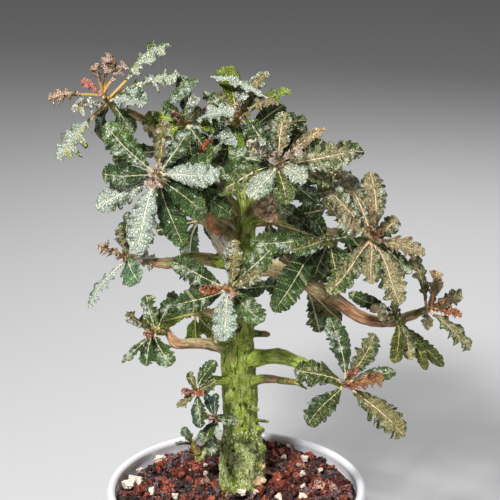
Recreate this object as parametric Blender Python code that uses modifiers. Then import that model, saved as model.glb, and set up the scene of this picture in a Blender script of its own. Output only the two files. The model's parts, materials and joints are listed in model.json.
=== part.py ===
"""A small Boswellia nana bonsai: a swollen green trunk with knots and cut stubs, tan branches,
and rosettes of crisped leaves, standing in lava gravel in a round glazed pot.

Metres, +Z up. The origin is the middle of the pot's underside. Sizes below are millimetres.
The crown is laid out as an eye in front of it sees it. A place is (right, up, depth): how far
right of and above the line of sight it shows, at the scale of the crown's middle plane, and how
far behind the pot's middle plane it really lies.
"""

import math

import bmesh
import bpy
import numpy as np
from mathutils import Vector, noise
from mathutils.bvhtree import BVHTree

MM = 0.001
GAP = 0.3

# The eye that the crown's places are given for
EYE_DISTANCE = 936.0
EYE_TILT = math.radians(17.85)
SIGHT = np.array([8.8, 0.0, 238.5])

# The pot. Its lip is the rolled edge above the wall, as (inset from the rim, drop from the top)
POT_HEIGHT = 84.0
POT_RIM_RADIUS = 81.5
POT_FOOT_RADIUS = 56.0
POT_WALL = 4.0
POT_FLOOR = 6.0
POT_FULLNESS = 0.8
POT_STEPS = 34
INNER_HEIGHTS = [6, 30, 72]
OUTER_HEIGHTS = [54, 22]
LIP = [(4.6, 3.0), (3.0, 0.4), (1.4, 0.0), (0.0, 2.4)]
FOOT_EASE = 1.2
DRAIN_RADIUS = 4.5
DRAIN_RING = 30.0
DRAIN_COUNT = 4
DRAIN_SIDES = 10
SHARP_FROM = math.radians(40)

# The gravel, whose stones are drawn larger than life, and the pumice lying on it as (x, y)
WALL_GAP = 0.4
GRAVEL_LEVEL = 74.5
GRAVEL_SLOPE = 0.02
HEAP_HEIGHT, HEAP_MIDDLE, HEAP_REACH = 5.5, 6.0, 42.0
HEAP_FROM, HEAP_RUN = -90.0, 165.0
GRAVEL_CELL = 7.6
GRAVEL_JITTER = 0.3
GRAVEL_RELIEF = 2.3
GRAVEL_SEED = 7
PUMICE_RADIUS = 3.6
PUMICE_SUNK = 0.6
PUMICE = [(-69.5, 14), (-63.5, 21), (-51, 51), (-54, 4), (-38, -5), (31, 43), (44.5, 44), (43.5, 21.5),
          (53.5, 28), (42.5, 5), (26, -11), (3, -10.5), (16, -48), (-28, -42)]

# The trunk's buried foot, and the plain hole that it stands in
FOOT_RADIUS = 15.0
FOOT_DEPTH = 31.0
FOOT_SIDES = 16
HOLE_CUTTER_HEIGHT = 60.0

# How finely limbs are drawn: the way between rings, and the bevel resolution
TRUNK_STEP, TRUNK_ROUNDNESS = 20, 4
LIMB_STEP, CARRIER_STEP, STUB_STEP, LIMB_ROUNDNESS = 26, 40, 9, 1
BARK_UNEVENNESS, BARK_GRAIN = 1.3, 90.0

# Leaves. A leaf's row count depends on its width, and its tip may be swung by these lengths
LEAF_THICKNESS = 1.0
LEAF_RISE = 0.16
LEAF_BEND_AT = 0.42
PETIOLE_SHARE = 0.14
PETIOLE_WIDTH = 1.9
MARGIN_WAVE = 0.13
SWINGS = [0, 3, -3, 6, -6, 9, -9, 12, -12, 16, -16, 20, -20, 25, -25, 30, -30, 36, -36]
MARGIN_LIFT = 0.2
WIDEST = 0.58
LAST_ROW = 0.93
ROWS_FROM_WIDTH = [(14.5, 7), (12.5, 6), (7.5, 5), (0.0, 4)]
TEST_MARGIN = 0.35
FIRST_BLADE_RING = 3

# A shoot's stem, the limb's straight run to it, and where the leaves' roots sit along it
STEM_RADIUS = 2.1
STEM_TAPER = 0.2
STEM_LENGTH = 11.0
LIMB_RUN_IN = 4.0
ROOT_BELOW_TIP, ROOT_STEP = 1.4, 0.75
BUD_RADIUS = 1.9
BUD_LENGTH = 7.0
BUD_ROOT, BUD_ROOT_STEP = 2.2, 0.5
GOLDEN_ANGLE = math.radians(137.5)

for old in list(bpy.data.objects):
    bpy.data.objects.remove(old, do_unlink=True)

RIGHT = np.array([1.0, 0.0, 0.0])
UP = np.array([0.0, math.sin(EYE_TILT), math.cos(EYE_TILT)])
NEAR = np.array([0.0, -math.cos(EYE_TILT), math.sin(EYE_TILT)])


def seen(right, up, near):
    """The point that the eye sees right of and above its line of sight, this much nearer."""
    scale = 1 - near / EYE_DISTANCE
    return SIGHT + scale * (right * RIGHT + up * UP) + near * NEAR


def nearness(up, depth):
    """How much nearer than the sighted plane a point of a given depth lies."""
    return (up * UP[1] - depth) / (-NEAR[1] + up * UP[1] / EYE_DISTANCE)


def place(right, up, depth):
    return seen(right, up, nearness(up, depth))


def unit(v):
    return np.asarray(v, float) / np.linalg.norm(v)


def turned_to(faces):
    """A direction given as (right, up, near), in the object's own axes."""
    return unit(faces[0] * RIGHT + faces[1] * UP + faces[2] * NEAR)


# Materials

def material(name, colour, roughness, coat=0.0):
    made = bpy.data.materials.new(name)
    made.use_nodes = True
    shader = made.node_tree.nodes["Principled BSDF"]
    shader.inputs["Base Color"].default_value = (*colour, 1)
    shader.inputs["Roughness"].default_value = roughness
    shader.inputs["Metallic"].default_value = 0
    shader.inputs["Coat Weight"].default_value = coat
    made.diffuse_color = (*colour, 1)
    return made


GLAZE = material("white_glaze", (0.82, 0.84, 0.86), 0.12, 0.6)
LAVA = material("lava_gravel", (0.17, 0.06, 0.04), 0.9)
BARK = material("green_bark", (0.20, 0.30, 0.08), 0.65)
LEAF_GREEN = material("leaf_green", (0.06, 0.14, 0.07), 0.5)
LEAF_KHAKI = material("leaf_khaki", (0.22, 0.21, 0.10), 0.55)
LEAF_CORAL = material("leaf_coral", (0.62, 0.25, 0.17), 0.55)
KHAKI_SHOOTS = ("upper_right", "right", "far_right", "hanging_right")

parts = bpy.data.collections.new("boswellia_bonsai")
bpy.context.scene.collection.children.link(parts)
cutters = bpy.data.collections.new("cutters")
bpy.context.scene.collection.children.link(cutters)


# Shared makers

def put(name, mesh, finish, home=parts):
    thing = bpy.data.objects.new(name, mesh)
    mesh.materials.clear()
    mesh.materials.append(finish)
    home.objects.link(thing)
    return thing


def as_mesh(thing):
    """Swaps an object for the mesh that its modifiers or its curve make of it."""
    bpy.context.view_layer.update()
    graph = bpy.context.evaluated_depsgraph_get()
    mesh = bpy.data.meshes.new_from_object(thing.evaluated_get(graph))
    name = thing.name
    home = thing.users_collection[0]
    finish = thing.data.materials[0]
    spot = thing.matrix_world.copy()
    bpy.data.objects.remove(thing, do_unlink=True)
    work = bmesh.new()
    work.from_mesh(mesh)
    bmesh.ops.remove_doubles(work, verts=work.verts, dist=1e-6)
    work.to_mesh(mesh)
    work.free()
    made = put(name, mesh, finish, home)
    made.matrix_world = spot
    return made


def joined(base, others):
    """Fuses the others into the base with one Boolean union, and removes them."""
    pile = bpy.data.collections.new("pile")
    bpy.context.scene.collection.children.link(pile)
    for other in others:
        other.users_collection[0].objects.unlink(other)
        pile.objects.link(other)
    union = base.modifiers.new("union", "BOOLEAN")
    union.operation = "UNION"
    union.operand_type = "COLLECTION"
    union.collection = pile
    union.solver = "MANIFOLD"
    made = as_mesh(base)
    for other in others:
        bpy.data.objects.remove(other, do_unlink=True)
    bpy.data.collections.remove(pile)
    return made


def plug(name, middle, radius, depth, sides):
    """An upright cylinder to cut with."""
    work = bmesh.new()
    bmesh.ops.create_cone(work, cap_ends=True, segments=sides, radius1=radius * MM, radius2=radius * MM,
                          depth=depth * MM)
    bmesh.ops.translate(work, verts=work.verts, vec=Vector(middle) * MM)
    mesh = bpy.data.meshes.new(name)
    work.to_mesh(mesh)
    work.free()
    return put(name, mesh, GLAZE, cutters)


def cut(base, cutter):
    cutter.hide_render = True
    cutter.display_type = "WIRE"
    difference = base.modifiers.new("cut", "BOOLEAN")
    difference.object = cutter


def lofted(name, rings, finish, home=parts):
    """A closed skin through rings of four points each, from a ring to a single last point.

    The diagonals run from each margin point to the next rib point on both faces alike.
    """
    work = bmesh.new()
    made = [[work.verts.new(p * MM) for p in ring] for ring in rings]
    work.faces.new([made[0][1], made[0][0], made[0][3]])
    work.faces.new([made[0][1], made[0][3], made[0][2]])
    for here, after in zip(made[:-1], made[1:]):
        for i in range(4):
            j = (i + 1) % 4
            if len(after) == 1:
                work.faces.new([here[i], here[j], after[0]])
            elif i % 2 == 0:
                work.faces.new([here[i], here[j], after[j]])
                work.faces.new([here[i], after[j], after[i]])
            else:
                work.faces.new([here[i], here[j], after[i]])
                work.faces.new([here[j], after[j], after[i]])
    bmesh.ops.recalc_face_normals(work, faces=work.faces)
    mesh = bpy.data.meshes.new(name)
    work.to_mesh(mesh)
    work.free()
    return put(name, mesh, finish, home)


def smooth_route(points, step):
    """Points every step or so along a smooth curve through the given ones, radii included."""
    given = np.asarray(points, float)
    padded = np.vstack([2 * given[0] - given[1], given, 2 * given[-1] - given[-2]])
    out = [given[0]]
    for a, b, c, d in zip(padded[:-3], padded[1:-2], padded[2:-1], padded[3:]):
        pieces = max(1, round(np.linalg.norm(c[:3] - b[:3]) / step))
        for i in range(1, pieces + 1):
            t = i / pieces
            curve = b + 0.5 * t * (c - a) + t * t * (a - 2.5 * b + 2 * c - 0.5 * d)
            out.append(curve + t ** 3 * (1.5 * (b - c) + 0.5 * (d - a)))
    return np.array(out)


def tube(name, points, finish, roundness, home=parts):
    """A tapering limb through (x, y, z, radius), with filled ends."""
    curve = bpy.data.curves.new(name, "CURVE")
    curve.dimensions = "3D"
    curve.bevel_depth = MM
    curve.bevel_resolution = roundness
    curve.use_fill_caps = True
    curve.materials.append(finish)
    spline = curve.splines.new("POLY")
    spline.points.add(len(points) - 1)
    for spot, (x, y, z, radius) in zip(spline.points, points):
        spot.co = (x * MM, y * MM, z * MM, 1)
        spot.radius = radius
    thing = bpy.data.objects.new(name, curve)
    home.objects.link(thing)
    return as_mesh(thing)


def knob(name, centre, radius, finish, home=parts):
    """A low angular bump of twenty faces."""
    work = bmesh.new()
    bmesh.ops.create_icosphere(work, subdivisions=0, radius=radius * MM)
    bmesh.ops.translate(work, verts=work.verts, vec=Vector(centre * MM))
    mesh = bpy.data.meshes.new(name)
    work.to_mesh(mesh)
    work.free()
    return put(name, mesh, finish, home)


def turned(name, profile, finish, steps, home=parts):
    """A body turned about the pot's axis from a profile of (radius, height)."""
    mesh = bpy.data.meshes.new(name)
    work = bmesh.new()
    spots = [work.verts.new((r * MM, 0, z * MM)) for r, z in profile]
    for a, b in zip(spots[:-1], spots[1:]):
        work.edges.new((a, b))
    work.to_mesh(mesh)
    work.free()
    thing = put(name, mesh, finish, home)
    screw = thing.modifiers.new("turn", "SCREW")
    screw.steps = steps
    screw.render_steps = steps
    screw.use_merge_vertices = True
    screw.merge_threshold = 1e-6
    return as_mesh(thing)


# The pot: a round glazed bowl with a thick rolled lip and drain holes round the middle

def wall_radius(height):
    """The bowl's outer radius at a height."""
    rise = min(1.0, max(0.0, height / POT_HEIGHT))
    return POT_FOOT_RADIUS + (POT_RIM_RADIUS - POT_FOOT_RADIUS) * math.sin(rise * math.pi / 2) ** POT_FULLNESS


def build_pot():
    inner = [(0, POT_FLOOR)] + [(wall_radius(z) - POT_WALL, z) for z in INNER_HEIGHTS]
    lip = [(POT_RIM_RADIUS - inset, POT_HEIGHT - drop) for inset, drop in LIP]
    outer = [(wall_radius(z), z) for z in OUTER_HEIGHTS]
    foot = [(POT_FOOT_RADIUS + FOOT_EASE, 0), (0, 0)]
    pot = turned("pot", inner + lip + outer + foot, GLAZE, POT_STEPS)
    for i in range(DRAIN_COUNT):
        angle = 2 * math.pi * (i + 0.5) / DRAIN_COUNT
        middle = (DRAIN_RING * math.cos(angle), DRAIN_RING * math.sin(angle), 0)
        cut(pot, plug(f"drain_cutter_{i}", middle, DRAIN_RADIUS, 4 * POT_FLOOR, DRAIN_SIDES))
    pot.data.shade_smooth()
    pot.data.set_sharp_from_angle(angle=SHARP_FROM)
    return pot


# The gravel: a fill of the bowl whose top is a relief of angular stones

def gravel_top(x, y):
    """The level of the fill, which is heaped up behind the trunk."""
    share = min(1.0, max(0.0, (y - HEAP_FROM) / HEAP_RUN))
    heap = HEAP_HEIGHT * math.exp(-((x - HEAP_MIDDLE) / HEAP_REACH) ** 2) * share * share * (3 - 2 * share)
    return GRAVEL_LEVEL + GRAVEL_SLOPE * x + heap


def stone_relief(rng):
    """A square block whose top is a jittered mesh of high and low points."""
    reach = POT_RIM_RADIUS
    cells = round(2 * reach / GRAVEL_CELL)
    work = bmesh.new()
    bmesh.ops.create_grid(work, x_segments=cells, y_segments=cells, size=reach * MM)
    for spot in work.verts:
        x, y = spot.co.x / MM, spot.co.y / MM
        jitter = rng.uniform(-GRAVEL_JITTER, GRAVEL_JITTER, 2) * GRAVEL_CELL
        inside = max(abs(x), abs(y)) < reach - 0.1
        high = rng.uniform(-1, 1) * GRAVEL_RELIEF
        spot.co.x += jitter[0] * MM * inside
        spot.co.y += jitter[1] * MM * inside
        spot.co.z = (gravel_top(x, y) + high) * MM
    bmesh.ops.triangulate(work, faces=work.faces)
    skirt = bmesh.ops.extrude_edge_only(work, edges=[e for e in work.edges if e.is_boundary])
    low = [v for v in skirt["geom"] if isinstance(v, bmesh.types.BMVert)]
    for spot in low:
        spot.co.z = 0
    bmesh.ops.contextual_create(work, geom=[e for e in work.edges if e.is_boundary])
    bmesh.ops.recalc_face_normals(work, faces=work.faces)
    mesh = bpy.data.meshes.new("relief")
    work.to_mesh(mesh)
    work.free()
    return put("relief", mesh, LAVA, cutters)


def build_gravel(trunk_spot):
    """The bowl's fill: a turned body, cut by the relief, with pumice on it and the trunk's hole."""
    rng = np.random.default_rng(GRAVEL_SEED)
    relief = stone_relief(rng)
    inside = [(wall_radius(z) - POT_WALL - WALL_GAP, z) for z in INNER_HEIGHTS]
    floor = POT_FLOOR + GAP
    profile = [(0, POT_HEIGHT), (inside[-1][0], POT_HEIGHT), *inside[:0:-1], (inside[0][0], floor), (0, floor)]
    gravel = turned("gravel", profile, LAVA, POT_STEPS)
    shape = gravel.modifiers.new("relief", "BOOLEAN")
    shape.operation = "INTERSECT"
    shape.object = relief
    gravel = as_mesh(gravel)
    bpy.data.objects.remove(relief, do_unlink=True)

    stones = []
    for i, (x, y) in enumerate(PUMICE):
        spot = np.array([x, y, gravel_top(x, y) - PUMICE_SUNK])
        stones.append(knob(f"pumice_{i}", spot, PUMICE_RADIUS * rng.uniform(0.8, 1.15), LAVA, cutters))
    gravel = joined(gravel, stones)

    hole_radius = (FOOT_RADIUS + GAP) / math.cos(math.pi / FOOT_SIDES)
    low = GRAVEL_LEVEL - FOOT_DEPTH - GAP
    middle = (trunk_spot[0], trunk_spot[1], low + HOLE_CUTTER_HEIGHT / 2)
    cut(gravel, plug("trunk_hole_cutter", middle, hole_radius, HOLE_CUTTER_HEIGHT, FOOT_SIDES))
    return gravel


# The tree: trunk, limbs, knots and stubs, each route a list of (right, up, depth, radius)

TRUNK = [(-5.0, -143, 10, 14.6), (-4.8, -130, 10, 14.0), (-4.8, -118, 10, 13.0), (-5.4, -103, 10, 11.0),
         (-6.3, -83, 10, 11.1), (-7.5, -60, 9, 10.3), (-7.2, -50, 9, 9.6), (-5.4, -30, 8, 8.6), (-4, -14, 8, 8.0),
         (-1.5, 4, 8, 5.4), (-0.6, 18, 6, 4.8), (8, 25, 5, 7.2), (15, 27, 3, 6.0)]

LIMBS = {
    "left": [(-5, -16, 8, 6.5), (-14, 5, 7, 8.2), (-24, 17, 4, 4.8), (-34, 27, -2, 3.8)],
    "far_left": [(-24, 17, 4, 4.2), (-36, 42, 8, 3.6), (-48, 62, 12, 3.0), (-59, 75, 12, 2.7)],
    "top": [(0, 18, 6, 4.6), (-5, 42, 10, 3.8), (-8, 60, 12, 3.0)],
    "right": [(-4, -12, 8, 6.4), (8, -10, 11, 6.0), (24, -15, 13, 5.6), (50, -30, 14, 5.0), (67, -42, 12, 4.3),
              (82, -43.5, 10, 3.7), (93, -42, 8, 3.2)],
    "back": [(-4, -14, 8, 6.6), (-4, 4, 34, 5.6), (-4, 26, 56, 4.6)],
    "front_right": [(-4, -66, 8, 5.4), (9, -64, -2, 5.0), (18, -64, -8, 4.7), (28, -67, -14, 4.2),
                    (45, -75, -20, 3.4)],
}

# Each stub is a route that ends cut off square, and each knot a low bump
STUBS = [
    [(-8, -52, 9, 5.0), (-14, -52, 4, 5.0), (-20, -52, 0, 4.6)],
    [(-6, -49, 10, 4.4), (6, -50.5, 16, 3.6)],
    [(-4, -118, 8, 4.6), (10.5, -119, 3, 3.6)],
    [(-4, -106, 8, 3.6), (8, -108.5, 4, 2.8)],
    [(-3, -95, 4, 2.6), (5, -96, -4, 1.8)],
    [(0, -101, 6, 1.8), (11, -103, 3, 1.0)],
]
KNOTS = [(0, -93, -1, 4.0), (-9.6, -120.6, -2, 4.2), (0.5, -117, -2, 3.6), (7, -138, 2, 5.0), (-14, -134, 4, 4.6),
         (-11, -70, 1, 3.4), (-2, -58, -1, 3.2), (-14, 8, 2, 5.6), (12, 22, 1, 5.4), (-10, -99, 1, 3.4)]


# Leafy shoots, front ones as (right, up, depth), the way the rosette faces, the route that
# carries it, and leaves as (right, up, near, width) from the middle of the rosette to the tip

SHOOTS = {
    "far_left": {
        "at": (-86, 91, 5), "faces": (-0.4, 0.5, 0.8), "from": [(-59, 75, 12, 2.7), (-72, 83, 12, 2.4)],
        "leaves": [(38, 32, -8, 9), (44, 14, -14, 10), (24, -3, 20, 16), (-29, -37, 10, 12), (-20, -8, 14, 9),
                   (-4, -24, -14, 11), (16, -20, -17, 12)],
        "young": [(-35, -1, 8, 6), (-15, 11, 8, 5), (4, 26, 7, 7), (-5, 21, 14, 5), (11, 21, 2, 6)]},
    "left": {
        "at": (-56, 45, -35), "faces": (-0.1, 0.05, 1), "from": [(-34, 27, -2, 3.8), (-46, 37, -14, 3.2)],
        "leaves": [(-31, 31, 3, 16), (-32, 1, 10, 15), (-36, -20, 7, 13), (-12, -47, 2, 16), (38, 1, 7, 14),
                   (5, 33, -7, 11), (20, 27, -7, 13), (29, -25, -5, 15), (45, -24, -15, 15), (16, -43, -10, 15)],
        "young": [(-2, -9, 15, 7), (3, 6, 15, 4)]},
    "top_left": {
        "at": (-39, 79, 0), "faces": (0, 0.5, 0.85), "from": [(-7, 50, 11, 3.2), (-24, 66, 10, 2.6)],
        "leaves": [(8, 23, 5, 10), (-14, 8, 10, 9), (30, 4, 14, 12), (9, 11, 19, 8), (17, -13, 15, 6), (-9, -18, -8, 12),
                   (12, -19, -10, 12), (-25, -3, -14, 12), (-2, 26, -20, 10)],
        "young": []},
    "top": {
        "at": (-8, 81, 5), "faces": (0, 0.7, 0.7), "from": [(-8, 60, 12, 3.0), (-9, 70, 12, 2.5)],
        "leaves": [(-8, 29, -7, 14), (4, 18, 7, 9), (-14, 24, 10, 7), (19, 26, -5, 9), (23, 8, 12, 8), (33, 15, 0, 11),
                   (-22, -8, 8, 12), (-1, -23, 8, 12), (17, -16, 5, 12), (-20, 14, -14, 10), (12, 22, -24, 11)],
        "young": [(2, 8, 14, 4)]},
    "upper_right": {
        "at": (17, 52, -35), "faces": (0.1, 0.15, 1), "from": [(15, 27, 3, 5.6), (17, 38, -10, 3.6)],
        "leaves": [(4, 31, 0, 14), (46, 7, -3, 16), (28, 21, 3, 6), (16, -11, 17, 11), (-17, -21, 10, 14),
                   (5, -24, 10, 13), (-37, -18, -7, 13), (-18, 27, -5, 12), (-19, 13, 12, 9), (-30, 6, -12, 12),
                   (32, -12, -14, 14), (24, 34, -17, 12)],
        "young": [(14, 9, 15, 5), (-3, 7, 15, 4)]},
    "right_middle": {
        "at": (47, 6, -14), "faces": (-0.2, 0.1, 1), "from": [(13, 24, 4, 4.4), (28, 16, 4, 3.2)],
        "leaves": [(-47, -2, 10, 15), (-23, -6, 19, 12), (-11, 15, 12, 10), (-33, -43, 14, 17), (-32, 22, -5, 10),
                   (7, -24, -10, 12)],
        "young": []},
    "right": {
        "at": (74, 7, -30), "faces": (0.2, 0.15, 1), "from": [(47, -28, 14, 4.4), (58, -12, 0, 3.6)],
        "leaves": [(-2, 40, -3, 14), (-37, 41, -5, 13), (-22, 43, -10, 12), (-21, 10, 14, 13), (31, -10, 10, 10),
                   (-27, -33, 10, 15), (-2, -28, 8, 13), (16, -40, 3, 16), (23, -21, -7, 8), (26, 20, -15, 11)],
        "young": [(-5, 23, 14, 6), (6, 6, 15, 4), (-4, 7, 15, 4)]},
    "far_right": {
        "at": (107, -35, 0), "faces": (0.5, 0.3, 0.8), "from": [(86, -43, 9.4, 3.4)],
        "leaves": [(6, 23, 0, 10), (-11, 34, -7, 9), (25, -25, 3, 13), (-2, -12, 15, 8), (20, 10, -15, 10)],
        "young": [(20, -5, 10, 7), (11, 6, 15, 5), (3, 9, 14, 4)]},
    "hanging_right": {
        "at": (89, -41, -11), "faces": (0.1, -0.1, 1), "from": [(80, -43, 10, 3.2)],
        "leaves": [(-2, -27, 8, 11), (8, -25, 2, 10), (17, -31, -5, 9), (27, -29, -12, 10), (-12, 2, 12, 8)],
        "young": []},
    "low_right": {
        "at": (57.6, -80, -34), "faces": (0.15, 0.1, 1), "from": [(45, -75, -20, 3.4)],
        "leaves": [(-10, 40, -7, 13), (-31, 8, 5, 15), (-23, -25, 8, 15), (35, -32, 8, 16), (17, 30, 0, 13),
                   (30, 7, -5, 9)],
        "young": [(6, 10, 14, 6), (23, 3, 15, 8), (8, -3, 17, 4)]},
    "low_middle": {
        "at": (-12.6, -22.8, -40), "faces": (0, 0.05, 1), "from": [(-6, -34, 6, 4.6), (-9, -29, -10, 3.2)],
        "leaves": [(-34, 16, 3, 14), (-32, -10, 2, 13), (-4, -32, 12, 15), (21, -20, 12, 14), (4, 29, 5, 12),
                   (25, 23, 5, 14), (20, 10, 15, 9), (22, 1, -5, 11)],
        "young": [(-18, -1, 14, 6), (3, -5, 15, 4)]},
    "left_low": {
        "at": (-74, -4, 0), "faces": (-0.5, 0.1, 0.85),
        "from": [(-7, -10, 7, 4.6), (-30, -5, 4, 3.6), (-50, -8, 4, 3.2)],
        "leaves": [(7, -17, 15, 14), (1, 27, -3, 11), (-5, 18, 8, 7), (-23, -31, 7, 8), (16, -3, -12, 10)],
        "young": [(-20, 8, 10, 7), (-5, 3, 14, 4)]},
    "left_branch": {
        "at": (-58, -49, -16), "faces": (-0.5, 0.05, 0.85),
        "from": [(-13, -58, 8, 5.0), (-30, -56, 0, 3.5), (-44, -56, -7, 3.2)],
        "leaves": [(10, -20, 10, 14), (-5, -20, 7, 11), (-19, -18, 7, 6), (-16, 11, 7, 9), (-4, 22, 0, 11),
                   (12, 19, -3, 11)],
        "young": [(-2, -4, 14, 4)]},
    "left_twig": {
        "at": (-32.4, -84.6, -16), "faces": (-0.4, 0.05, 0.9), "from": [(-9, -80, 6, 3.8), (-22, -78.5, -7, 2.8)],
        "leaves": [(12, 18, 0, 9), (-4, 11, 3, 6), (-11, -8, 8, 6), (3, -22, 10, 11), (12, 6, 8, 7)],
        "young": [(-9, 0, 7, 4), (5, -2, 12, 4)]},
    "low_sprig": {
        "at": (-21, -101, -20), "faces": (-0.3, 0.1, 0.95), "from": [(-9, -103, 6, 3.2), (-15, -102, -6, 2.4)],
        "leaves": [(-6, 14, 3, 6), (1, 15, 2, 6), (14, -1, 8, 8), (-7, -15, 8, 9), (3, -13, 12, 5), (-2, -23, 3, 8)],
        "young": [(-3, 2, 12, 4)]},
    "rim_sprig": {
        "at": (-35, -115, 2), "faces": (-0.3, 0.7, 0.5), "from": [(-12, -119, 8, 2.6), (-24, -118, 6, 1.9)],
        "leaves": [(-6, 8, 5, 6), (8, 6, 5, 6), (-9, -2, 10, 6)],
        "young": []},
    "bud_twig": {
        "at": (27, -79.4, -8), "faces": (0.9, -0.1, 0.3), "from": [(-2, -82, 8, 3.4), (4, -78, 1, 3.2)],
        "leaves": [(6, 3, 5, 4), (7, -4, 3, 4)],
        "young": []},
}

# Shoots on the far side, which are filled by a rule: (right, up, depth), faces, route, leaves
BACK_SHOOTS = {
    "back_upper_left": ((-48, 60, 42), (-0.5, 0.5, -0.7), [(-4, 20, 50, 3.8), (-26, 44, 44, 3.0)], 6),
    "back_top": ((2, 72, 52), (0.1, 0.8, -0.6), [(-4, 24, 55, 3.8), (-1, 50, 54, 3.0)], 6),
    "back_upper_right": ((36, 54, 50), (0.5, 0.4, -0.7), [(-4, 22, 53, 3.8), (16, 40, 50, 3.0)], 6),
    "back_left": ((-32, 18, 66), (-0.5, 0.1, -0.9), [(-4, 14, 45, 3.8), (-18, 18, 52, 2.8)], 6),
    "back_middle": ((10, 20, 80), (0.2, 0.2, -0.9), [(-4, 26, 56, 3.8), (4, 24, 66, 2.8)], 6),
    "back_right": ((56, 12, 48), (0.6, 0.1, -0.8), [(-4, 16, 46, 3.6), (26, 18, 42, 2.8)], 6),
    "back_low_left": ((-34, -38, 44), (-0.6, -0.1, -0.7), [(-7, -40, 10, 4.0), (-20, -40, 30, 2.8)], 6),
    "back_low_right": ((34, -22, 50), (0.4, 0.0, -0.9), [(20, -14, 13, 4.0), (26, -18, 34, 2.8)], 6),
}
BACK_LEAF = (31.0, 12.5)


def blade_outline(q):
    """The blade's share of its full width, from its foot at 0 to its round end at 1."""
    if q < WIDEST:
        return math.sin(0.5 * math.pi * q / WIDEST) ** 0.8
    return math.sqrt(max(0.0, 1 - ((q - WIDEST) / (1 - WIDEST)) ** 2))


def leaf_rings(root, tip, faces, width, rows):
    """Rings of (left margin, upper rib, right margin, lower rib) from the root to the tip.

    The rib arches towards the side that the rosette faces, and the margins wave in and out
    and up and down, more so the wider the blade is.
    """
    length = np.linalg.norm(tip - root)
    bend = root + LEAF_BEND_AT * (tip - root) + LEAF_RISE * length * faces
    rings = []
    for row in range(rows):
        s = 0 if row == 0 else PETIOLE_SHARE + (LAST_ROW - PETIOLE_SHARE) * (row - 1) / (rows - 2)
        rib = (1 - s) ** 2 * root + 2 * s * (1 - s) * bend + s * s * tip
        along = unit(2 * (1 - s) * (bend - root) + 2 * s * (tip - bend))
        side = unit(np.cross(along, faces))
        normal = np.cross(side, along)
        q = max(0.0, (s - PETIOLE_SHARE) / (1 - PETIOLE_SHARE))
        half = 0.5 * width * blade_outline(q)
        wave = (1 if row % 2 else -1) * (row > 1)
        half = max(0.5 * PETIOLE_WIDTH, half * (1 + MARGIN_WAVE * wave))
        lift = MARGIN_LIFT * half * wave
        thick = 0.5 * LEAF_THICKNESS * normal
        rings.append([rib - half * side + lift * normal, rib + thick,
                      rib + half * side - lift * normal, rib - thick])
    rings.append([tip])
    return rings


def plan_leaf(shoot, index, kind, leaf):
    """A leaf of the plan: its root inside the stem or bud, its tip, and how it faces."""
    right, up, near, width = leaf
    own = nearness(shoot["at"][1], shoot["at"][2])
    centre = place(*shoot["at"])
    faces = turned_to(shoot["faces"])
    along = -ROOT_BELOW_TIP - ROOT_STEP * index if kind == "leaves" else BUD_ROOT + BUD_ROOT_STEP * index
    tip = seen(shoot["at"][0] + right, shoot["at"][1] + up, own + near)
    return centre + along * faces, tip, faces, width


def back_leaves(name, count):
    """Leaves set round a shoot by the golden angle, as (right, up, near, width)."""
    rng = np.random.default_rng(sum(map(ord, name)))
    faces = unit(BACK_SHOOTS[name][1])
    across = unit(np.cross(faces, [0.0, 1.0, 0.1]))
    over = np.cross(across, faces)
    leaves = []
    for i in range(count):
        turn = i * GOLDEN_ANGLE + rng.uniform(-0.2, 0.2)
        length = BACK_LEAF[0] * rng.uniform(0.85, 1.15)
        reach = length * (math.cos(turn) * across + math.sin(turn) * over + rng.uniform(0.05, 0.35) * faces)
        leaves.append((*reach, BACK_LEAF[1] * rng.uniform(0.85, 1.15)))
    return leaves


def plan_shoots():
    """Every shoot as one dictionary, the far side's ones filled by rule."""
    plan = {name: dict(shoot) for name, shoot in SHOOTS.items()}
    for name, (spot, faces, route, count) in BACK_SHOOTS.items():
        plan[name] = {"at": spot, "faces": faces, "from": route, "leaves": back_leaves(name, count), "young": []}
    return plan


def triangles_of(rings, larger):
    """The leaf's skin as points and triangles, a little larger than it is, for testing."""
    points, faces = [], []
    for ring in rings:
        if len(ring) == 4:
            up, side = larger * unit(ring[1] - ring[3]), larger * unit(ring[2] - ring[0])
            ring = [ring[0] - side, ring[1] + up, ring[2] + side, ring[3] - up]
        points += [Vector(p) for p in ring]
    for i in range(len(rings) - 1):
        for j in range(4):
            k = (j + 1) % 4
            a, b = 4 * i + j, 4 * i + k
            if len(rings[i + 1]) == 1:
                faces.append((a, b, 4 * (i + 1)))
            else:
                c, d = 4 * (i + 1) + k, 4 * (i + 1) + j
                faces += [(a, b, c), (a, c, d)]
    return points, faces


def bent_clear(node, leaf, rows, held):
    """The rings of a leaf, its tip swung to and fro until it crosses nothing that stands already.

    Leaves of one node may cross near their roots, where they are fused.
    """
    root, tip, faces, width = leaf
    length = np.linalg.norm(tip - root)
    for swing in SWINGS:
        way = unit(tip + swing * faces - root)
        rings = leaf_rings(root, root + length * way, faces, width, rows)
        whole = BVHTree.FromPolygons(*triangles_of(rings, TEST_MARGIN))
        blade = BVHTree.FromPolygons(*triangles_of(rings[FIRST_BLADE_RING:], TEST_MARGIN))
        if any(blade.overlap(other_blade) if owner == node else whole.overlap(other_whole)
               for owner, other_whole, other_blade in held):
            continue
        held.append((node, whole, blade))
        return rings
    return None


def skin_of(thing):
    """A search tree of an object's skin in millimetres."""
    points = [thing.matrix_world @ v.co / MM for v in thing.data.vertices]
    return BVHTree.FromPolygons(points, [tuple(p.vertices) for p in thing.data.polygons])


def limb(name, route, step, end=()):
    """A limb through seen places, and through the end points if it carries a shoot."""
    points = [(*place(*spot[:3]), spot[3]) for spot in route]
    return tube(name, smooth_route([*points, *end], step), BARK, LIMB_ROUNDNESS, cutters)


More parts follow.
